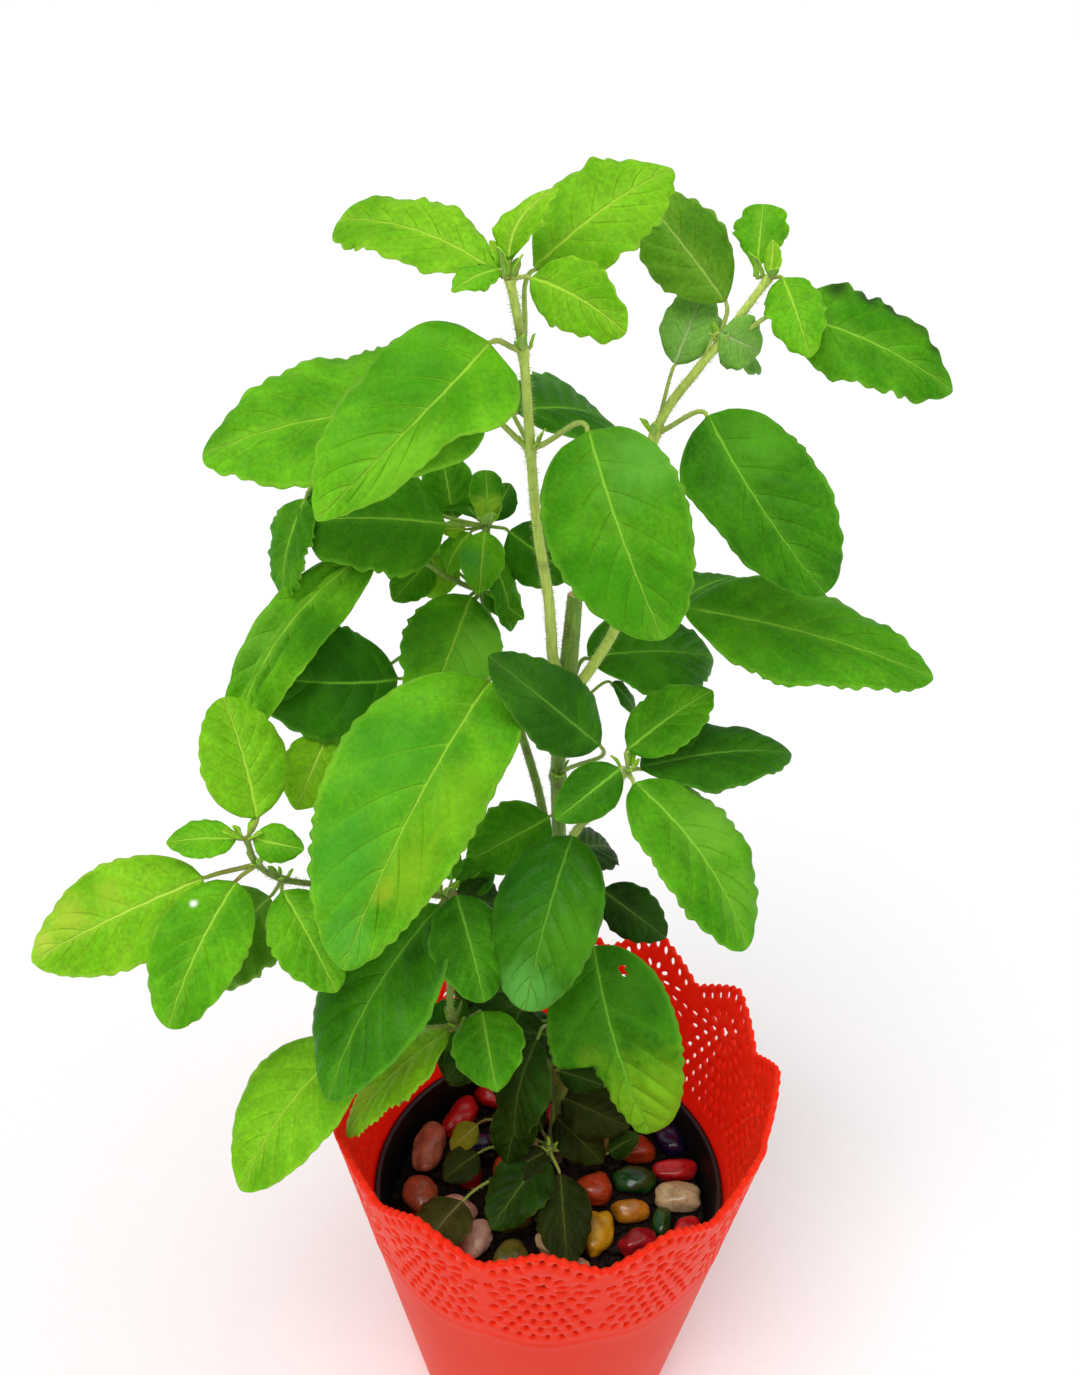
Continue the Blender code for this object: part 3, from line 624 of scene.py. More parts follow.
def smooth_path(points, values, step):
    """Points about step apart on a smooth line through these points, with the values carried along."""
    points = [np.array(point, float) for point in points]
    ends = [2 * points[0] - points[1], *points, 2 * points[-1] - points[-2]]
    path = []
    carried = []
    for i in range(len(points) - 1):
        before, start, end, after = ends[i:i + 4]
        count = max(2, round(np.linalg.norm(end - start) / step))
        for k in range(count):
            t = k / count
            bend = 2 * start + (end - before) * t
            bend = bend + (2 * before - 5 * start + 4 * end - after) * t ** 2
            bend = bend + (3 * start - before - 3 * end + after) * t ** 3
            path.append(bend / 2)
            carried.append(values[i] + (values[i + 1] - values[i]) * t)
    path.append(points[-1])
    carried.append(values[-1])
    return np.array(path), np.array(carried)


def frames_along(path):
    """The way along the path at each point and two unit vectors across it, turning as little as they can."""
    along = np.gradient(path, axis=0)
    along /= np.linalg.norm(along, axis=1)[:, None]
    side = unit(np.cross(along[0], (0, 0, 1) if abs(along[0][2]) < 0.9 else (1, 0, 0)))
    sides = []
    for direction in along:
        side = unit(side - direction * (side @ direction))
        sides.append(side)
    sides = np.array(sides)
    return along, sides, np.cross(along, sides)


def tube(build, path, radii, columns, squareness=0.0, finish=0, end_finish=None):
    """A closed tube along the path. squareness draws its section towards a square."""
    _, first, second = frames_along(path)
    corners = []
    for centre, a, b, radius in zip(path, first, second, radii):
        for k in range(columns):
            angle = 2 * math.pi * k / columns
            reach = radius * (1 + squareness * math.cos(4 * angle))
            corners.append(centre + a * reach * math.cos(angle) + b * reach * math.sin(angle))
    start = build.add(corners, bands(len(path), columns), finish)
    build.join(start, [tuple(reversed(range(columns)))], finish)
    last = len(corners) - columns
    build.join(start + last, [tuple(range(columns))], finish if end_finish is None else end_finish)


def add_hairs(build, path, radii, per_mm, length, rng):
    """Fine tapering hairs that stand out from the path, each a slender closed spike."""
    along, first, second = frames_along(path)
    steps = np.linalg.norm(np.diff(path, axis=0), axis=1)
    total = steps.sum()
    reach = np.concatenate([[0], np.cumsum(steps)])
    for _ in range(int(total * per_mm)):
        place = rng.random() * total
        i = max(min(int(np.searchsorted(reach, place)) - 1, len(path) - 2), 0)
        share = (place - reach[i]) / max(steps[i], 1e-6)
        centre = path[i] + (path[i + 1] - path[i]) * share
        radius = radii[i] + (radii[i + 1] - radii[i]) * share
        angle = rng.random() * 2 * math.pi
        out = first[i] * math.cos(angle) + second[i] * math.sin(angle)
        round_it = np.cross(along[i], out)
        root = centre + out * (radius * 0.97)
        lean = along[i] * rng.uniform(-0.25, 0.45) + round_it * rng.uniform(-0.2, 0.2)
        tip = root + unit(out + lean) * length * rng.uniform(0.55, 1.15)
        back = root - along[i] * HAIR_RADIUS / 2
        beside = round_it * HAIR_RADIUS
        corners = [root + along[i] * HAIR_RADIUS, back + beside, back - beside, tip]
        build.add(corners, [(0, 2, 1), (0, 1, 3), (1, 2, 3), (2, 0, 3)])


def blade_surface(row, rng, teeth=1.0, heel=0.66, tip=0.64, widest=0.84, spread=1.0, longer=1.0, bites=(),
                  crinkle=1.0, pleats=0.0, nudge=(0, 0, 0), tooth_gap=4.2, slim=(0, 0, 0), tilt=0, bend=0):
    """The blade's middle surface as a grid of points, and where each lies on the blade.

    Rows of the grid run out along the side veins, so that teeth, veins and swellings follow each other.
    teeth and crinkle are the strength of its teeth and its waved margins, tooth_gap the millimetres from tooth
    to tooth, and pleats the height of its pleats. heel and tip are how pointed its ends are, and widest above 1
    moves its widest place towards the tip.
    spread and longer stretch it, nudge moves its tip, tilt adds to its roll and bend to the bow of its midrib.
    slim is a half (1 or -1), the place from which it narrows and by what share, negative where it widens.
    bites are torn places: the half, from where to where along the blade, and how deep.
    """
    turn, rise, length, width, roll, _, bow = row[4:]
    length *= longer
    width *= spread
    along = heading(turn, rise)
    upright = unit(np.array([0, 0, 1]) - along * along[2])
    roll = math.radians(roll + tilt)
    normal = upright * math.cos(roll) + np.cross(along, upright) * math.sin(roll)
    side = np.cross(along, normal)
    rows = int(min(max(length * 1.9, 12), 140))
    columns = 2 * int(min(max(width * 0.48, 4), 20))
    u = np.linspace(0, 1, rows + 1)[:, None]
    w = np.linspace(-1, 1, columns + 1)[None, :]
    out = np.abs(w)
    left = w > 0
    s = 1 - (1 - u) ** (1 + VEIN_SWEEP * out ** 1.4)
    half = width / 2 * np.sin(np.pi * np.clip(s, 0, 1) ** widest) ** (heel + (tip - heel) * s)
    half = np.maximum(half, PETIOLE_HALF_WIDTH * (1 - s) + 0.05)

    # Forward-pointing rounded teeth, about one every 4 mm, uneven in size and place
    count = min(max(round(length / tooth_gap), 5), 18)
    offsets = [rng.uniform(0, 50) for _ in range(6)]
    wobble = np.sin(s * 9 + offsets[0]) * 0.018 + np.sin(s * 23 + offsets[1] + 3 * left) * 0.008
    phase = (s + wobble) * count + np.where(left, 0.4, 0)
    share = phase - np.floor(phase)
    size = 0.75 + 0.35 * np.sin(s * 13 + offsets[2] + 2 * left)
    ramp = np.clip((s - 0.1) / 0.25, 0, 1) * np.clip((1.02 - s) / 0.12, 0, 1)
    tooth = (np.sin(np.pi * share ** 1.5) - 0.5) * size * ramp * teeth * min(0.05 * width, 1.5)
    reach = w * half + np.sign(w) * tooth * out ** 9
    slim_side, slim_from, slim_share = slim
    slimmer = np.clip((s - slim_from) / 0.4, 0, 1)
    slimmer = 1 - slim_share * slimmer ** 2 * (3 - 2 * slimmer)
    reach = np.where(np.sign(w) == slim_side, reach * slimmer, reach)
    for bite_side, bite_from, bite_to, depth in bites:
        inside = np.clip((s - bite_from) / 0.03, 0, 1) * np.clip((bite_to - s) / 0.03, 0, 1)
        ragged = 1 + 0.12 * np.sin(s * 90) + 0.08 * np.sin(s * 37 + 1)
        reach = np.where(np.sign(w) == bite_side, reach * (1 - depth * inside * ragged * out ** 2), reach)

    # Arch, fold, waved margins, pleats and the swellings between the side veins
    arch = ARCH * length * 4 * s * (1 - s)
    lift = FOLD * np.sqrt((w * half) ** 2 + 0.6) - FOLD * 0.77
    lift = lift - 0.16 * half * out ** 4
    wave = 0.1 * half * out ** 2.2 * np.sin(2 * np.pi * s * 1.5 + offsets[3] + 2.4 * left)
    wave = wave + 0.045 * half * out ** 3 * np.sin(2 * np.pi * s * 4.3 + offsets[4] + 1.3 * left)
    pleat = pleats * np.cos(2 * np.pi * out * 1.6) * np.sin(np.pi * np.clip(s, 0, 1)) * np.clip(out * 4, 0, 1)
    twist = 0.09 * w * half * np.sin(np.pi * s + offsets[5])
    vein_phase = u * VEIN_PAIRS + np.where(left, VEIN_STAGGER, 0)
    swell = np.abs(np.sin(np.pi * vein_phase)) ** 1.1 * np.sin(np.pi * np.clip(out, 0, 1) ** 0.75) ** 0.8
    swell = swell * min(length / 50, 1.2) * 0.85 * np.clip((1 - s) * 5, 0, 1)
    groove = 0.35 * np.exp(-(w * half / 0.9) ** 2) * np.clip(s * 6, 0, 1) * (1 - 0.6 * s)
    height = arch + lift + wave * crinkle + twist + swell + pleat - groove
    bowed = reach + (bow + bend) * length * 4 * s * (1 - s)
    points = along * (length * s)[..., None] + side * bowed[..., None] + normal * height[..., None]
    points = points + np.array(nudge, float) * (s ** 2)[..., None]
    place = np.stack([length * s, w * half], axis=-1)
    return points, u + 0 * w, w + 0 * u, place, along, normal


def petiole_path(foot, petiole, base, along):
    """Points of the petiole: it leaves the stem at the foot, bends over and meets the blade at its base."""
    turn, rise, length = petiole
    reach = max(length, 1.0)
    first_pull = foot + heading(turn, rise) * reach * 0.55
    last_pull = base - along * reach * 0.3
    count = max(5, int(reach / 1.2))
    path = []
    for k in range(count):
        t = k / count
        path.append(foot * (1 - t) ** 3 + first_pull * 3 * t * (1 - t) ** 2 + last_pull * 3 * t ** 2 * (1 - t)
                    + base * t ** 3)
    return path


def make_leaf(name, row, start, materials, slot, node, rng, hole=None, shift=(0, 0, 0), **form):
    """One leaf: its blade with an upper and a lower skin, and the petiole that runs on below it as the midrib.

    materials are the skins of the upper side, the underside and the petiole, and start is the leaf's joint.
    shift moves the blade, hole is the (along, across, half length, half width) of a nibbled hole, and form is
    the rest of the blade's own shape.
    """
    petiole = row[1:4]
    foot = np.array(start, float)
    base = foot + heading(*petiole[:2]) * petiole[2] + np.array(shift)
    points, u, w, place, along, normal = blade_surface(row, rng, **form)
    points = points + base
    rows, columns = u.shape
    up = np.cross(np.gradient(points, axis=1), np.gradient(points, axis=0))
    size = np.linalg.norm(up, axis=-1, keepdims=True)
    up = np.where(size > 1e-9, up / np.maximum(size, 1e-9), normal)
    up = np.where((up @ normal)[..., None] < 0, -up, up)
    thick = (BLADE_MIDDLE + (BLADE_MARGIN - BLADE_MIDDLE) * np.abs(w))[..., None]
    lower = points - up * thick / 2
    number = np.arange(rows * columns).reshape(rows, columns)
    top = np.stack([number[:-1, :-1], number[:-1, 1:], number[1:, 1:], number[1:, :-1]], axis=-1).reshape(-1, 4)
    if hole:
        middle = place.reshape(-1, 2)[top].mean(axis=1)
        top = top[np.hypot((middle[:, 0] - hole[0]) / hole[2], (middle[:, 1] - hole[1]) / hole[3]) > 1]
    kept = set(map(tuple, np.concatenate([top[:, [i, (i + 1) % 4]] for i in range(4)]).tolist()))
    below = rows * columns
    rim = [(b, a, a + below, b + below) for a, b in kept if (b, a) not in kept]
    build = Build()
    build.add((points + up * thick / 2).reshape(-1, 3), top.tolist())
    build.add(lower.reshape(-1, 3), reverse(top.tolist()), finish=1)
    build.join(0, rim)
    blade_faces = len(build.faces)

    # The petiole runs on below the blade as a midrib that thins towards the tip
    stalk = 0.36 + 0.005 * row[6]
    path = petiole_path(foot, petiole, base, along)
    count = len(path)
    radii = [stalk * (1.12 - 0.2 * k / count) for k in range(count)]
    for k in range(0, int(rows * 0.82), max(1, rows // 26)):
        radius = max(stalk * 0.85 * (1 - k / rows) ** 0.9, 0.12)
        path.append(lower[k, columns // 2] - up[k, columns // 2] * radius * 0.35)
        radii.append(radius)
    tube(build, np.array(path), radii, columns=8, finish=2)

    # Each corner's vein number and share of the half width, and its place on the blade in metres
    mesh = build.mesh(name)
    corner_of_loop = np.empty(len(mesh.loops), np.int32)
    mesh.loops.foreach_get("vertex_index", corner_of_loop)
    face_of_loop = np.repeat(np.arange(len(mesh.polygons)), [len(face) for face in build.faces])
    spare = len(build.corners) - 2 * below
    phase = np.concatenate([np.tile((u * VEIN_PAIRS).reshape(-1), 2), np.zeros(spare)])
    sideways = np.concatenate([np.tile(w.reshape(-1), 2), np.zeros(spare)])
    spots = np.concatenate([np.tile(place.reshape(-1, 2), (2, 1)) * MM, np.zeros((spare, 2))])
    on_left = [sum(sideways[list(face)]) > 0 for face in build.faces[:blade_faces]]
    on_left = np.array(on_left + [False] * (len(build.faces) - blade_faces))
    staggered = phase[corner_of_loop] + np.where(on_left[face_of_loop], VEIN_STAGGER, 0)
    veins = np.stack([staggered, sideways[corner_of_loop]], axis=-1)
    for layer, values in (("veins", veins), ("place", spots[corner_of_loop])):
        mesh.uv_layers.new(name=layer).data.foreach_set("uv", values.astype(np.float32).ravel())
    weld(mesh, distance=0.015 * MM)
    put(name, mesh, materials, slot, node)
    return np.array(path[:count]), radii[:count]


def leaf_materials():
    """An upper and a lower skin for each tone."""
    made = {}
    for tone, (light, dark, under, vein) in TONES.items():
        made[tone] = (
            blade_green("basil_leaf_" + tone, light, dark, vein, 1),
            blade_green("basil_underside_" + tone, under, dark, UNDERSIDE_VEIN, -1),
        )
    return made


# Leaves with something of their own: blemishes, painted light and shade, a torn edge, another outline, a
# glossier skin
SPECIAL = {
    ("main_stem", 1): {
        "teeth": 0.8, "heel": 0.56, "tip": 0.56, "widest": 0.76, "slim": (-1, -0.1, 0.32),
        # The first two patches, bluish green on one half, are a painted reflection of the sky, and the next two,
        # yellow green on the other half, are painted light, as the blade folds; the small yellow spot is a
        # blemish of its own.
        "patches": [
            (26, 11, 20, "#3E9822", 0.5), (54, 9, 18, "#40A02C", 0.5), (30, -13, 16, "#8CC01E", 0.4),
            (50, -9, 14, "#A0C424", 0.4), (58, -3, 5, "#C4BE2C", 0.35), (72, 1, 9, "#48A03C", 0.5),
        ],
    },
    ("main_stem", 2): {"spread": 1.15, "tilt": 34, "patches": [(16, 0, 12, "#4C9612", 0.5)]},
    ("main_stem", 4): {
        "teeth": 0.6, "shift": (4, 0, 0), "nudge": (0, -24, 15),
        "patches": [(20, 6, 10, "#1E5604", 0.5)],
    },
    ("main_stem", 8): {
        "teeth": 0.6, "heel": 0.6, "tip": 0.36, "bites": [(1, 0.54, 1.05, 0.9)], "hole": (8.5, -7, 1.9, 1.0),
        "patches": [
            (29, 8, 6, "#9CAC28", 0.22), (52, -6, 26, "#86BC1E", 0.8), (22, 6, 9, "#38740C", 0.5),
            (14, -8, 9, "#38740C", 0.5),
        ],
    },
    ("shoot_centre", 1): {
        "teeth": 1.2, "heel": 0.6, "tip": 0.28, "widest": 1.2, "spread": 0.84, "crinkle": 1.1,
        "shift": (1.5, 0, -1), "nudge": (0, 0, 1),
    },
    ("shoot_centre", 2): {"teeth": 1.8, "heel": 0.9, "crinkle": 2},
    ("shoot_centre", 3): {"teeth": 1.4, "spread": 1.35, "longer": 1.2, "crinkle": 1.8, "nudge": (8, 0, -2)},
    ("shoot_centre", 4): {"teeth": 1.1, "heel": 1.0, "spread": 0.93, "crinkle": 1.5},
    ("shoot_centre", 5): {"teeth": 1.6, "heel": 0.8, "tip": 0.5, "crinkle": 2.2},
    ("shoot_centre", 6): {
        "teeth": 0.6, "heel": 0.42, "tip": 0.7, "widest": 0.74, "slim": (-1, 0.1, 0.5),
        "patches": [(14, 9, 16, "#3E9212", 0.5), (36, 8, 12, "#4E9C1E", 0.4), (34, -9, 16, "#80C62C", 0.5)],
    },
    ("shoot_centre", 7): {"tip": 0.5},
    ("shoot_centre", 8): {
        "teeth": 0.6, "heel": 0.52, "tip": 0.52, "widest": 0.78,
        "patches": [(10, -9, 14, "#6CB43C", 0.6), (36, 4, 14, "#489C0C", 0.5)],
    },
    ("shoot_centre", 9): {"tip": 0.4, "spread": 1.05, "slim": (-1, 0.25, -0.5), "crinkle": 0.7},
    ("shoot_right", 1): {"teeth": 1.2, "heel": 0.8, "tip": 0.5, "crinkle": 1.5},
    ("shoot_right", 2): {
        "teeth": 2, "heel": 1.2, "tip": 0.4, "widest": 1.5, "spread": 1.1, "crinkle": 2, "shift": (-2, 0, -2),
    },
    ("shoot_right", 3): {"teeth": 1.6, "crinkle": 1.8},
    ("shoot_right", 4): {
        "teeth": 1.4, "crinkle": 1.6, "shift": (0, 0, 3), "nudge": (0, 0, -6),
        # The dark patches along the upper margin are painted shade, cast where the margin curls over.
        "patches": [
            (10, -9.5, 4.5, "#1E400C", 0.9), (18, -12, 5, "#1A380A", 0.9), (25, -12.5, 5, "#1A380A", 0.9),
            (32, -11, 5, "#1A380A", 0.9), (38, -8, 4.5, "#1E400C", 0.9),
        ],
    },
    ("shoot_right", 6): {"tip": 0.4, "spread": 1.3, "longer": 0.66, "nudge": (-9, 0, 2)},
    ("shoot_right", 7): {
        "teeth": 0.45, "heel": 0.6, "tip": 0.46, "slim": (1, 0.1, 0.3), "shift": (2, 0, 0),
        "patches": [(12, -9, 14, "#5CA422", 0.5)],
    },
    ("shoot_right", 8): {"spread": 1.2},
    ("shoot_right", 9): {"teeth": 0.9, "heel": 0.8, "spread": 0.93},
    ("shoot_back", 1): {
        "heel": 0.9, "tip": 0.35, "widest": 1.25, "spread": 1.25,
        "patches": [(1, 0, 7, "#B8DC3C", 0.9)],
    },
    ("shoot_back", 3): {
        "tip": 0.5, "spread": 1.5, "longer": 1.08, "crinkle": 1.6,
        "patches": [(26, 6, 14, "#2E7A10", 0.5)],
    },
    ("shoot_back", 4): {"spread": 1.15, "nudge": (0, 0, 3)},
    ("shoot_back", 5): {"spread": 1.1, "crinkle": 2, "patches": [(8, 3, 6, "#3C9A3C", 0.6)]},
    ("shoot_back", 6): {"spread": 1.2, "longer": 1.15},
    ("shoot_back", 7): {"tip": 0.45, "spread": 1.35, "longer": 1.1},
    ("shoot_back", 8): {
        # The two light patches are painted light on one half and the dark patch is painted shade on the other.
        "patches": [(14, -8, 13, "#7CC434", 0.9), (28, -7, 11, "#74BC30", 0.8), (18, 9, 13, "#24680A", 0.6)],
    },
    ("shoot_back", 9): {
        "teeth": 0.3, "spread": 0.72, "crinkle": 0.6, "pleats": 2.4, "shift": (2, 0, 3), "nudge": (-10, 0, 0),
        "bend": 0.17,
        # The dark patch is painted shade on one half of the folded blade and the light patch painted light on
        # the other.
        "patches": [(25, -9, 12, "#2E7A0C", 0.5), (34, 8, 14, "#80C03C", 0.5)],
    },
    ("shoot_back", 10): {
        "spread": 1.25, "longer": 1.32, "nudge": (-5, 26, -7),
        "patches": [(14, 0, 16, "#1E5C06", 0.8)],
    },
    ("shoot_back", 12): {"teeth": 2.2, "tooth_gap": 2.5, "spread": 1.4},
    ("shoot_front", 2): {"teeth": 0.5},
    ("shoot_front", 3): {"teeth": 0.5},
    ("shoot_front", 4): {
        "teeth": 0.8, "tip": 0.5, "spread": 0.95,
        "patches": [(20, -8, 14, "#7CBC34", 0.6), (40, -3, 10, "#78B830", 0.5)],
    },
    ("shoot_front", 5): {
        "teeth": 0.4, "heel": 0.6, "tip": 0.46, "gloss": 0.28,
        # The pale patch at the tip is a painted sheen highlight, the dark patch painted shade on one half and
        # the light patch painted light on the other.
        "patches": [(43, 1, 11, "#6CBC50", 0.6), (15, 6, 15, "#1F6A14", 0.5), (25, -8, 15, "#5CA81C", 0.5)],
    },
    ("shoot_left", 1): {"teeth": 0.5, "tip": 0.5},
    ("shoot_left", 4): {
        "teeth": 0.5, "crinkle": 0.7,
        "patches": [(34, 5, 8, "#BCCC40", 0.6), (22, 6, 6, "#A8C434", 0.5), (43, 3, 5, "#C6D04C", 0.6)],
    },
    ("shoot_left", 5): {"teeth": 0.6, "heel": 0.55, "tip": 0.5, "patches": [(9, 6, 1.3, "#F6FCF2", 1)]},
    ("shoot_left", 6): {"spread": 0.9, "longer": 0.92},
    ("shoot_left", 7): {"spread": 1.5, "longer": 1.15, "tilt": 34},
    ("sprig_left", 1): {"tip": 0.5, "spread": 1.4},
    ("sprig_left", 3): {"teeth": 0.3, "spread": 1.06, "crinkle": 0.6, "gloss": 0.34},
    ("sprig_left", 4): {"teeth": 0.3, "heel": 0.6, "crinkle": 0.5},
    ("sprig_left", 5): {
        "teeth": 1.8, "tooth_gap": 2.3, "heel": 0.5, "spread": 1.15,
        "patches": [(16, -2, 8, "#7C8A16", 0.4), (32, 2, 9, "#B4BC30", 0.5)],
    },
    ("sprig_left", 6): {"heel": 0.5, "tip": 0.8, "spread": 1.4, "longer": 1.2, "shift": (3, 0, 6)},
    ("sprig_foot", 6): {"crinkle": 2, "gloss": 0.34},
    ("sprig_foot", 7): {"spread": 1.3, "longer": 1.15},
    ("sprig_foot", 8): {"longer": 0.92, "shift": (3, -3, -4)},
}

# Smaller leaves tucked among the others, as rows of the same kind
TUCKED = {
    "shoot_back": [
        (6, 238, -5, 11, 210, 68, 20, 15, -23, "mid", 0),
        (6, 161, -2, 4, 150, 38, 12, 9, 30, "shade", 0),
        (6, 295, -16, 5, 302, -55, 13, 9, -30, "fresh", 0.05),
        (6, 270, -12, 6, 287, 7, 7, 5, -55, "lime", 0),
        (5, 10, 20, 5, 62, -20, 13, 8, 30, "mid", 0),
        (5, 262, 29, 17, 303, -40, 15, 12, -52, "mid", 0),
    ],
    "shoot_right": [
        (5, 101, 60, 10, 104, -26, 12, 14, 82, "grey", 0),
    ],
    "main_stem": [
        (3, 59, -61, 8, 291, 28, 26, 16, -29, "dark", 0),
        (3, 344, 29, 24, 329, -70, 34, 20, 6, "dark", 0.03),
        (3, 319, -54, 27, 330, -68, 24, 15, -23, "dark", 0),
        (2, 357, 71, 15, 74, -6, 15, 10, 38, "dark", 0),
        (3, 298, 12, 26, 322, -20, 18, 13, -24, "dark", 0),
        (4, 250, -50, 18, 262, 10, 22, 15, -40, "shade", 0),
    ],
    "sprig_left": [
        (5, 122, 7, 4, 132, 17, 13, 11, 39, "deep", 0),
        (5, 90, 13, 3, 117, -34, 16, 13, 62, "dark", 0),
        (3, 172, 2, 10, 299, -64, 19, 16, -48, "shade", 0),
        (2, 258, -3, 10, 318, -59, 16, 14, -32, "dark", 0),
        (3, 135, -25, 6, 69, 40, 22, 13, 52, "dark", 0),
        (2, 254, 64, 17, 281, 72, 35, 20, -27, "dark", 0),
        (2, 184, 35, 10, 282, 68, 25, 14, -38, "shade", 0),
    ],
    "sprig_foot": [
        (1, 155, 68, 18, 70, -11, 24, 18, 36, "murky", 0),
        (1, 165, 65, 10, 58, -28, 21, 15, 32, "murky", 0),
        (2, 101, -14, 21, 79, 49, 14, 9, 40, "dark", 0),
    ],
}

# The joints at which a tuft of new leaves opens, with the length of the longest in millimetres
BUDS = {
    "shoot_centre": [(7, 8), (6, 4), (5, 5)],
    "shoot_right": [(7, 8), (6, 5), (4, 4), (2, 5)],
    "shoot_back": [(6, 7), (5, 5), (3, 4)],
    "shoot_front": [(5, 6), (3, 4)],
    "shoot_left": [(7, 7), (6, 4), (5, 4)],
    "sprig_left": [(5, 6), (3, 5)],
    "sprig_foot": [(2, 4)],
    "main_stem": [(5, 5), (4, 4)],
}


def make_buds(stem, joints, tufts, materials, rng):
    """Tufts of four tiny leaves, half open, standing round their joint."""
    for tuft, (joint, longest) in enumerate(tufts, 1):
        first_turn = rng.uniform(0, 360)
        for leaf, share in enumerate((1, 0.85, 0.65, 0.5)):
            turn = first_turn + 100 * leaf
            rise = rng.uniform(35, 75)
            roll = rng.uniform(-20, 20)
            length = longest * share
            row = (joint, turn, 30, 1.6, turn, rise, length, length * 0.55, roll, "young", 0.05)
            name = f"{stem}_bud_{tuft}_{leaf + 1}"
            make_leaf(name, row, joints[joint], materials, "leaf", stem, rng, teeth=1.2, crinkle=1.5)


def make_stems():
    """Each stem with its leaves, the smaller leaves tucked among them, its hairs and its buds."""
    skins = leaf_materials()
    barks = {
        "green": stem_skin("young_stem_green", "#D0E26C", "#A8C448", "#8C9C40", 0.2),
        "woody": stem_skin("old_stem_olive", "#7CA42E", "#54781A", "#5C5A20", 0.25),
        "reddish": stem_skin("young_stem_red", "#86A234", "#648826", "#6E5E28", 0.25),
    }
    stalks = {
        "green": stem_skin("petiole_green", "#B4C85A", "#94B040", "#8A9A3A", 0.3),
        "woody": stem_skin("petiole_green_dull", "#92B440", "#729A2C", "#6E7A2C", 0.25),
        "reddish": stem_skin("petiole_red", "#98AC3C", "#7C9C30", "#8A5A34", 0.35),
    }
    pith = cut_pith()
    hair = hair_skin()
    rng = random.Random(11)
    for stem, shape in STEMS.items():
        joints = shape["joints"]
        bark = shape["bark"]
        stalk = stalks[bark]
        radii = shape["radii"]
        if len(radii) == 2:
            radii = np.linspace(*radii, len(joints))
        path, widths = smooth_path(joints, radii, step=0.8)
        # The stem is swollen at each joint that bears a leaf
        for joint in sorted({row[0] for row in shape["leaves"]}):
            apart = np.linalg.norm(path - np.array(joints[joint]), axis=1)
            widths = widths * (1 + 0.3 * np.exp(-(apart / 1.8) ** 2))
        build = Build()
        tube(build, path, widths, columns=16, squareness=0.055, end_finish=1)
        slot = "green_stem" if bark == "green" else "bark"
        put(stem + "_stem", build.mesh(stem + "_stem"), [barks[bark], pith], slot, stem, sharp=50)
        fringe = Build()
        shown = path[:, 2] > HAIRS_FROM
        add_hairs(fringe, path[shown], widths[shown], *STEM_HAIRS, rng)
        for number, row in enumerate(shape["leaves"], 1):
            name = f"{stem}_leaf_{number}"
            tone = row[9]
            form = dict(SPECIAL.get((stem, number), {}))
            looks = {key: form.pop(key) for key in ("patches", "gloss") if key in form}
            upper, lower = skins[tone]
            if looks:
                light, dark, _, vein = TONES[tone]
                upper = blade_green("basil_skin_" + name, light, dark, vein, 1, **looks)
            slot = "leaf_dark" if tone in ("dark", "shade") else "leaf"
            materials = [upper, lower, stalk]
            petiole = make_leaf(name, row, joints[row[0]], materials, slot, stem, rng, **form)
            add_hairs(fringe, *petiole, *PETIOLE_HAIRS, rng)
        for number, row in enumerate(TUCKED.get(stem, []), 1):
            name = f"{stem}_tucked_{number}"
            materials = [*skins[row[9]], stalk]
            make_leaf(name, row, joints[row[0]], materials, "leaf_dark", stem, rng, teeth=0.8, crinkle=1.4)
        put(stem + "_hairs", fringe.mesh(stem + "_hairs"), [hair], "green_stem")
        make_buds(stem, joints, BUDS[stem], [*skins["young"], stalk], rng)


def planter_radius(height):
    return PLANTER_BASE_RADIUS + (PLANTER_RIM_RADIUS - PLANTER_BASE_RADIUS) * height / PLANTER_HEIGHT


def planter_spot(turn, height, inward):
    """A point of the planter, inward millimetres in from its outer face."""
    out = planter_radius(height) - inward * math.cos(WALL_SLOPE)
    rise = height + inward * math.sin(WALL_SLOPE)
    angle = math.radians(turn)
    return math.sin(angle) * out, -math.cos(angle) * out, rise


def gable(x):
    """Height of the rim at x millimetres from the middle of a scallop, with a soft point and small picots."""
    share = abs(x) / (SPAN / 2)
    soft = math.sqrt(share ** 2 + 0.012) - 0.05
    return PLANTER_HEIGHT - 0.6 - (SCALLOP_DEPTH - 0.6) * min(soft, 1) + 0.6 * math.cos(2 * math.pi * x / 3.06)


def border(x):
    """Height of the lace's lower border."""
    return LACE_BOTTOM + LACE_WAVE * abs(x) / (SPAN / 2)


def oval(x, y, half_wide, half_tall, tilt=0, count=8, petals=0):
    """Points round an oval hole whose long way is turned by tilt, in radians from upright."""
    points = []
    for k in range(count):
        angle = 2 * math.pi * k / count
        swell = 1 + 0.3 * math.cos(petals * angle) if petals else 1
        wide = half_wide * swell * math.cos(angle)
        tall = half_tall * swell * math.sin(angle)
        points.append((x + wide * math.cos(tilt) - tall * math.sin(tilt),
                       y + wide * math.sin(tilt) + tall * math.cos(tilt)))
    return points


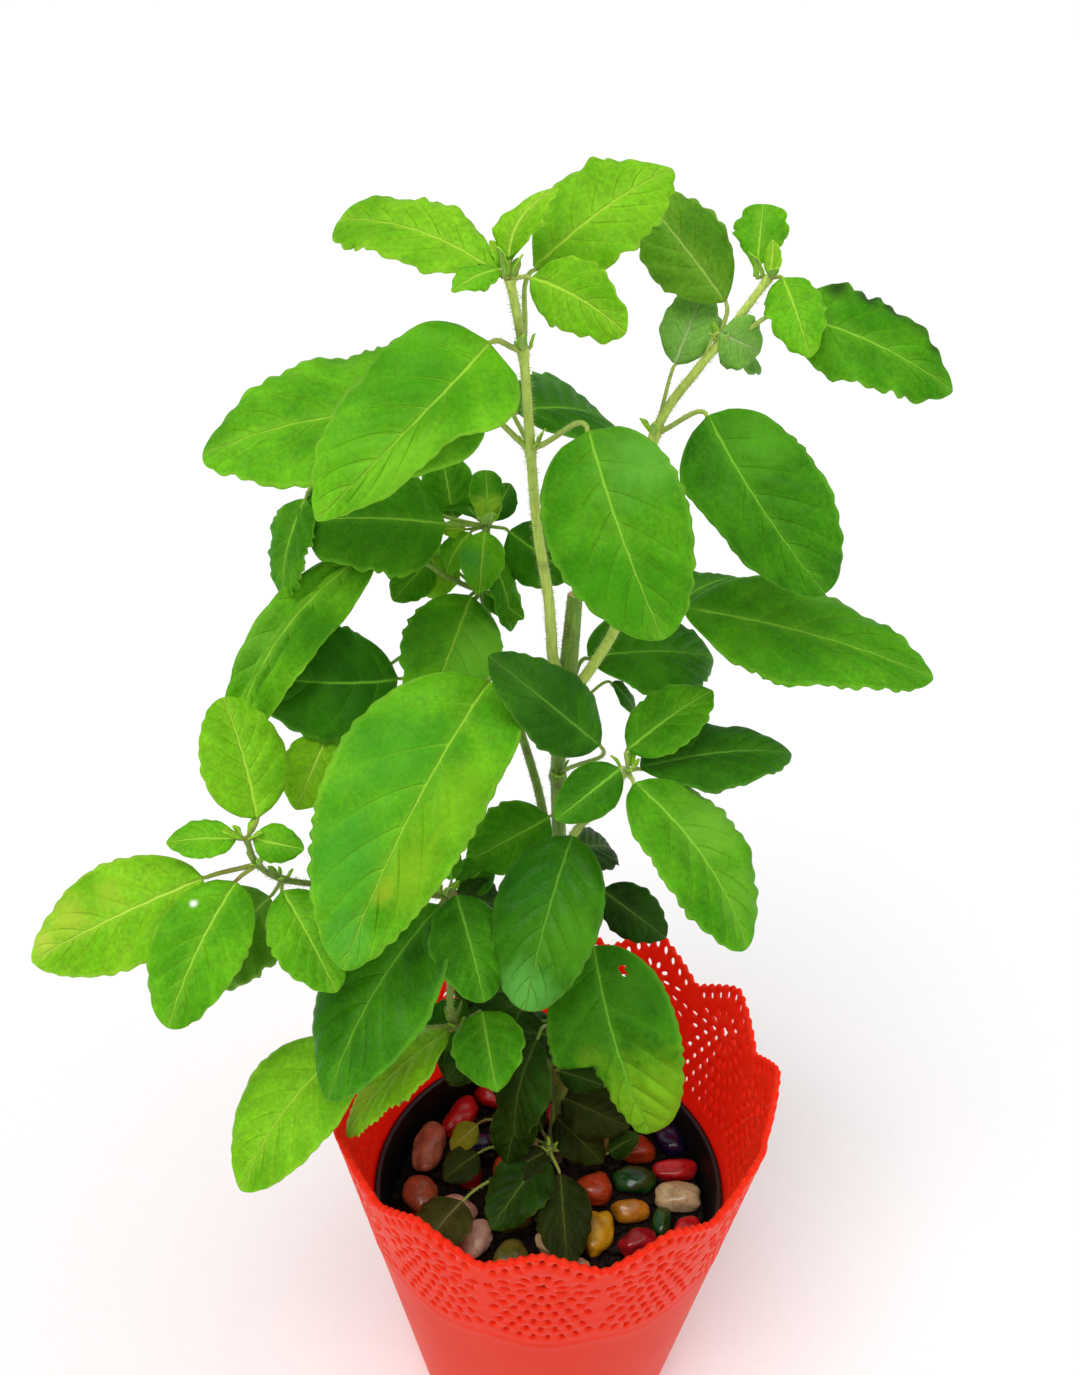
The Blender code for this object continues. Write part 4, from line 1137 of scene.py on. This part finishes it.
def lace_holes():
    """One scallop's holes, each with how far its raised edge reaches.

    They are an edge row of tall drops, a small flower, and rings of ovals round that flower.
    """
    holes = []
    for k in range(-4, 5):
        x = k * 3.5
        tall = 1.9 - 0.13 * abs(k)
        holes.append((oval(x, gable(x) - 3.0 - tall / 2, 0.85, tall), 0.5))
    holes.append((oval(0, FLOWER_HEIGHT, 1.7, 1.7, count=15, petals=5), 0.5))
    for ring in range(1, 9):
        radius = 1.2 + 5 * ring
        count = 6 * ring + 5
        for k in range(count):
            angle = 2 * math.pi * (k + 0.5 * (ring % 2)) / count
            x = radius * math.sin(angle)
            y = FLOWER_HEIGHT + radius * math.cos(angle)
            if abs(x) <= SPAN / 2 - 1.7 and border(x) + 2.6 <= y <= gable(x) - 8.4:
                holes.append((oval(x, y, 0.82, 1.6, -angle), 0.4))
    return holes


def lace_relief(x, y):
    """Height of the raised cords, one along the rim and one between each ring of holes and the next."""
    if y > gable(x) - 7.5:
        return 0.28 * math.exp(-((y - gable(x) + 6.9) / 0.7) ** 2)
    apart = math.hypot(x, y - FLOWER_HEIGHT)
    return 0.2 * (0.5 + 0.5 * math.cos(2 * math.pi * (apart - 3.7) / 5))


def lace_unit():
    """One scallop's lace, flat: its points, how far each is raised, and the triangles between them."""
    half = SPAN / 2
    valley = gable(half)
    low = border(half)
    side_steps = 20
    bottom = [-half + SPAN * i / SPAN_COLUMNS for i in range(SPAN_COLUMNS + 1)]
    rim = [half - SPAN * i / RIM_STEPS for i in range(RIM_STEPS + 1)]
    points = [(x, border(x)) for x in bottom]
    points += [(half, low + (valley - low) * i / side_steps) for i in range(1, side_steps)]
    relief = [0] * len(points)
    # The rim's edge is rounded off, but for its two ends, and the line just inside it is raised
    points += [(x, gable(x)) for x in rim]
    relief += [0] + [-0.45] * (RIM_STEPS - 1) + [0]
    points += [(-half, valley + (low - valley) * i / side_steps) for i in range(1, side_steps)]
    relief += [0] * (side_steps - 1)
    outlines = [list(range(len(points)))]
    points += [(x, gable(x) - 0.75) for x in rim[1:-1]]
    relief += [0.3] * (RIM_STEPS - 1)
    # A hole's edge is rounded off too, and the line round it is raised
    for hole, reach in lace_holes():
        outlines.append(list(range(len(points), len(points) + len(hole))))
        middle_x = sum(x for x, _ in hole) / len(hole)
        middle_y = sum(y for _, y in hole) / len(hole)
        points += hole
        relief += [-0.4] * len(hole)
        for x, y in hole:
            apart = math.hypot(x - middle_x, y - middle_y)
            points.append((x + (x - middle_x) / apart * reach, y + (y - middle_y) / apart * reach))
            relief.append(0.12)

    # Points about 1.7 mm apart fill the rest, clear of the outlines
    taken = kdtree.KDTree(len(points))
    for i, (x, y) in enumerate(points):
        taken.insert((x, y, 0), i)
    taken.balance()
    step = 1.7
    columns = int(SPAN / step)
    for i in range(columns):
        for j in range(int((PLANTER_HEIGHT - LACE_BOTTOM) / step)):
            x = -half + (i + 0.5 + 0.25 * (j % 2)) * SPAN / columns
            y = LACE_BOTTOM + j * step
            inside = abs(x) <= half - 0.8 and border(x) + 0.8 <= y <= gable(x) - 1.6
            if inside and taken.find((x, y, 0))[2] > 0.75:
                points.append((x, y))
                relief.append(lace_relief(x, y))
    flat = [Vector(point) for point in points]
    corners, _, triangles, sources, _, owners = geometry.delaunay_2d_cdt(flat, [], outlines, 1, 1e-4, True)
    # A triangle that belongs to the first outline alone lies in no hole
    kept = [tuple(triangle) for triangle, owner in zip(triangles, owners) if owner == [0]]
    raised = [relief[source[0]] if source else 0 for source in sources]
    return [(corner.x, corner.y) for corner in corners], raised, kept


def lace_walls(flat, faces):
    """The faces that join the outer and inner skin of one scallop's lace, in its holes and along its rim."""
    on_side = {i for i, (x, _) in enumerate(flat) if abs(abs(x) - SPAN / 2) < 1e-3}
    on_border = {i for i, (x, y) in enumerate(flat) if abs(y - border(x)) < 1e-3}
    edges = dict.fromkeys((face[i], face[(i + 1) % 3]) for face in faces for i in range(3))
    walls = []
    for a, b in edges:
        joined = (b, a) in edges or {a, b} <= on_side or {a, b} <= on_border
        if not joined:
            walls.append((b, a, a + len(flat), b + len(flat)))
    return walls


def make_planter():
    """The whole planter: pierced band, smooth wall and floor, as one closed skin."""
    flat, relief, faces = lace_unit()
    walls = lace_walls(flat, faces)
    build = Build()
    for scallop in range(SCALLOPS):
        outer = []
        inner = []
        for (x, y), raised in zip(flat, relief):
            turn = (scallop + x / SPAN) * 360 / SCALLOPS + SCALLOP_TURN
            outer.append(planter_spot(turn, y, -raised))
            inner.append(planter_spot(turn, y, PLANTER_WALL + raised * 0.6))
        start = build.add(outer, faces)
        build.add(inner, reverse(faces))
        build.join(start, walls)

    # Smooth wall below the lace, with a raised cord just under the border and a rounded foot
    columns = SPAN_COLUMNS * SCALLOPS
    rings = 27
    outer = []
    inner = []
    for ring in range(rings):
        share = ring / (rings - 1)
        for column in range(columns):
            turn = column / SPAN_COLUMNS * 360 / SCALLOPS + SCALLOP_TURN
            top = border(((column / SPAN_COLUMNS + 0.5) % 1 - 0.5) * SPAN)
            height = top * (1 - (1 - share) ** 1.35)
            cord = 0.35 * math.exp(-((top - height - 1.6) / 0.9) ** 2)
            foot = max(0.0, 1 - height / 2.2)
            outer.append(planter_spot(turn, height, 1.2 * foot ** 2 - cord))
            inner.append(planter_spot(turn, max(height, PLANTER_WALL), PLANTER_WALL))
    wall = bands(rings, columns)
    build.add(outer, wall)
    build.add(inner, reverse(wall))

    # The underside is hollowed by 0.6 mm inside the ring it stands on, and the floor inside is flat
    for edge, height, hollow in ((outer[:columns], 0, 0.6), (inner[:columns], PLANTER_WALL, 0)):
        corners = list(edge)
        for share, level in ((0.93, height), (0.6, height + hollow), (0.3, height + hollow)):
            corners += [(x * share, y * share, level) for x, y, _ in edge]
        middle = len(corners)
        last = middle - columns
        corners.append((0, 0, height + hollow))
        floor = bands(4, columns)
        floor += [(last + k, last + (k + 1) % columns, middle) for k in range(columns)]
        build.add(corners, reverse(floor) if hollow else floor)
    mesh = build.mesh("red_planter")
    weld(mesh, distance=0.02 * MM)
    put("red_planter", mesh, [moulded_red()], "planter_red", "planter", sharp=60)


def revolve(build, profile, steps, wobble=0.0, lumps=None):
    """A turned skin from (radius, height) points. lumps(x, y, height) is how far a point is raised."""
    corners = []
    rings = []
    for radius, height in profile:
        ring = []
        for k in range(steps if radius else 1):
            angle = 2 * math.pi * k / steps
            out = radius * (1 + wobble * math.sin(2 * angle + 0.7) + wobble * 0.6 * math.sin(3 * angle))
            x = out * math.sin(angle)
            y = -out * math.cos(angle)
            ring.append(len(corners))
            corners.append((x, y, height + (lumps(x, y, height) if lumps else 0)))
        rings.append(ring)
    faces = []
    for low, high in zip(rings, rings[1:]):
        for k in range(steps):
            a = low[k % len(low)]
            b = low[(k + 1) % len(low)]
            c = high[(k + 1) % len(high)]
            d = high[k % len(high)]
            faces.append(tuple(dict.fromkeys((a, b, c, d))))
    build.add(corners, faces)


def make_nursery_pot():
    """The nursery pot: a thin tapered wall with a stepped lip whose edge is rounded, and a plain floor."""
    top = POT_BOTTOM + POT_HEIGHT
    lip = top - POT_LIP_HEIGHT
    lip_radius = POT_BASE_RADIUS + (POT_RIM_RADIUS - POT_BASE_RADIUS) * (lip - POT_BOTTOM) / POT_HEIGHT
    below_lip = lip_radius - POT_LIP_STEP
    inside = POT_RIM_RADIUS - POT_LIP_STEP - POT_WALL
    inside_base = POT_BASE_RADIUS - POT_WALL
    floor = POT_BOTTOM + POT_WALL
    profile = [
        (0, POT_BOTTOM), (POT_BASE_RADIUS - 1.5, POT_BOTTOM), (POT_BASE_RADIUS - 0.3, POT_BOTTOM + 0.5),
        (POT_BASE_RADIUS, POT_BOTTOM + 1.6),
    ]
    for k in range(1, 14):
        share = k / 14
        height = POT_BOTTOM + (lip - POT_BOTTOM) * share
        profile.append((POT_BASE_RADIUS + (below_lip - POT_BASE_RADIUS) * share, height))
    profile += [
        (below_lip, lip - 0.3), (lip_radius - 0.2, lip), (lip_radius, lip + 0.4),
        (POT_RIM_RADIUS, top - 1.2), (POT_RIM_RADIUS - 0.1, top - 0.5), (POT_RIM_RADIUS - 0.45, top - 0.1),
        (POT_RIM_RADIUS - 0.9, top), (inside + 0.45, top - 0.1), (inside + 0.1, top - 0.5), (inside, top - 1.2),
        (inside, lip + 0.5), (inside - 0.1, lip),
    ]
    for k in range(1, 12):
        share = k / 12
        profile.append((inside + (inside_base - inside) * share, lip + (floor - lip) * share))
    profile += [(inside_base, floor), (0, floor)]
    build = Build()
    revolve(build, profile, steps=120, wobble=0.0015)
    mesh = build.mesh("nursery_pot_black")
    put("nursery_pot_black", mesh, [formed_black()], "pot_black", "nursery_pot", sharp=50)


def soil_lumps(x, y, height):
    """Lumps of 4 and 1.6 mm on the top of the soil."""
    if height < SOIL_TOP - 0.5:
        return 0
    return 0.9 * noise.noise(Vector((x, y, 3)) / 4) + 0.5 * noise.noise(Vector((x, y, 9)) / 1.6) - 0.4


def make_soil():
    """The soil in the nursery pot, and the crumbs that lie loose on it."""
    profile = [
        (0, SOIL_BOTTOM), (SOIL_FOOT_RADIUS, SOIL_BOTTOM), (SOIL_RADIUS - 1.6, SOIL_TOP - 4),
        (SOIL_RADIUS - 0.6, SOIL_TOP),
    ]
    top_rings = 34
    profile += [(SOIL_RADIUS * (1 - k / top_rings), SOIL_TOP) for k in range(1, top_rings)]
    profile.append((0, SOIL_TOP))
    build = Build()
    revolve(build, profile, steps=150, lumps=soil_lumps)
    soil = potting_mix()
    put("potting_soil", build.mesh("potting_soil"), [soil], "soil", "soil")

    rng = random.Random(4)
    crumbs = Build()
    round_crumb, faces = ball(subdivisions=2)
    for number in range(CRUMBS):
        reach = CRUMB_REACH * math.sqrt(rng.random())
        angle = rng.random() * 2 * math.pi
        size = rng.uniform(0.6, 1.9)
        squash = np.array([rng.uniform(0.8, 1.5), rng.uniform(0.7, 1.1), rng.uniform(0.6, 0.9)]) * size
        height = SOIL_TOP + size * rng.uniform(0.1, 1.6)
        centre = np.array([reach * math.cos(angle), reach * math.sin(angle), height])
        corners = []
        for corner in round_crumb:
            rough = 1 + 0.35 * noise.noise(Vector(corner) * 1.6 + Vector((number, 0, 0)))
            corners.append(centre + corner * squash * rough)
        crumbs.add(corners, faces)
    put("soil_crumbs", crumbs.mesh("soil_crumbs"), [soil], "soil")


def make_pebbles():
    """Tumbled pebbles: rounded blocks with soft hollows, each a little different."""
    stones = {name: tumbled_stone(name, *colours) for name, colours in STONES.items()}
    round_stone, faces = ball(subdivisions=4)
    for number, (colour, x, y, turn, length, width, height) in enumerate(PEBBLES, 1):
        # Between round, at a power of 2, and a little squarer
        power = 2 + 0.4 * ((number * 7) % 5) / 4
        shape = round_stone / (np.abs(round_stone) ** power).sum(axis=1)[:, None] ** (1 / power)
        offset = Vector((number * 3.1, number * 1.7, 0))
        rough = np.array([1 + 0.22 * noise.noise(Vector(corner) * 1.1 + offset)
                          + 0.05 * noise.noise(Vector(corner) * 2.6 + offset) for corner in round_stone])
        shape = shape * rough[:, None] * 0.97
        # One end is thicker than the other
        shape[:, 1] *= 1 + PEBBLE_LEAN * shape[:, 0] / 2
        along, across, up = (shape * np.array([length, width, height]) / 2).T
        angle = math.radians(turn)
        turned_x = along * math.cos(angle) - across * math.sin(angle)
        turned_y = along * math.sin(angle) + across * math.cos(angle)
        build = Build()
        build.add(np.stack([x + turned_x, y + turned_y, PEBBLE_SEAT + height / 2 + up], axis=1), faces)
        name = f"pebble_stone_{number:02d}"
        look = "ochre" if number == OCHRE_PEBBLE else colour
        put(name, build.mesh(name), [stones[look]], colour, f"pebble_{number:02d}")


def make_floor():
    """A plain pale studio floor, painted board: matt, with a barely visible grain of 3 mm."""
    reach = 12
    mesh = bpy.data.meshes.new("studio_floor")
    corners = [(-reach, -reach, 0), (reach, -reach, 0), (reach, reach, 0), (-reach, reach, 0)]
    mesh.from_pydata(corners, [], [(0, 1, 2, 3)])
    floor = bpy.data.objects.new("studio_floor", mesh)
    bpy.context.scene.collection.objects.link(floor)
    material, tree, shader, body = new_material("painted_board_pale")
    grain = add(tree, "TexNoise", {"Vector": body, "Scale": 300})
    mixed = add(tree, "Mix", {0: grain, 6: "#F8F8F8", 7: "#F4F4F4"}, **BLEND)
    plug(tree, shader, {"Base Color": mixed, "Roughness": 0.8, "Specular IOR Level": 0.2})
    mesh.materials.append(material)


def sun_light(name, direction, spread, strength):
    """White light that comes evenly from this direction, from a patch of sky spread degrees wide."""
    light = bpy.data.lights.new(name, "SUN")
    light.angle = math.radians(spread)
    light.energy = strength
    obj = bpy.data.objects.new(name, light)
    bpy.context.scene.collection.objects.link(obj)
    obj.rotation_mode = "QUATERNION"
    obj.rotation_quaternion = Vector(direction).to_track_quat("Z", "Y")


def make_light():
    """A white studio: even light from all round, a soft key from the upper left and a softer fill."""
    world = bpy.data.worlds.new("soft_studio")
    world.use_nodes = True
    plug(world.node_tree, world.node_tree.nodes["Background"], {"Color": "#FFFFFF", "Strength": 0.55})
    bpy.context.scene.world = world
    sun_light("key", (-0.3, -0.5, 1.0), 38, 1.68)
    sun_light("fill", (0.7, -0.3, 0.9), 70, 0.6)
    bpy.context.scene.view_settings.view_transform = "Standard"
    bpy.context.scene.view_settings.look = "None"


def make_camera():
    """The photograph's camera, with its place in metres, how far it looks down and how far it is rolled."""
    place = (-0.0065, -0.305, 0.4635)
    pitch = math.radians(31.9)
    roll = math.radians(1.3)
    focal_pixels = 1400
    photo_height = 1375
    sensor = 36
    forward = Vector((0, math.cos(pitch), -math.sin(pitch)))
    right = Vector((1, 0, 0))
    up = right.cross(forward)
    rolled_right = right * math.cos(roll) + up * math.sin(roll)
    rolled_up = up * math.cos(roll) - right * math.sin(roll)
    turn = Matrix((rolled_right, rolled_up, -forward)).transposed().to_4x4()
    camera = bpy.data.objects.new("camera", bpy.data.cameras.new("camera"))
    bpy.context.scene.collection.objects.link(camera)
    camera.matrix_world = Matrix.Translation(place) @ turn
    camera.data.sensor_width = sensor
    camera.data.lens = focal_pixels * sensor / photo_height
    camera.data.clip_start = 0.01
    camera.data.clip_end = 50
    bpy.context.scene.camera = camera


make_camera()
make_light()
make_floor()
make_planter()
make_nursery_pot()
make_soil()
make_pebbles()
make_stems()
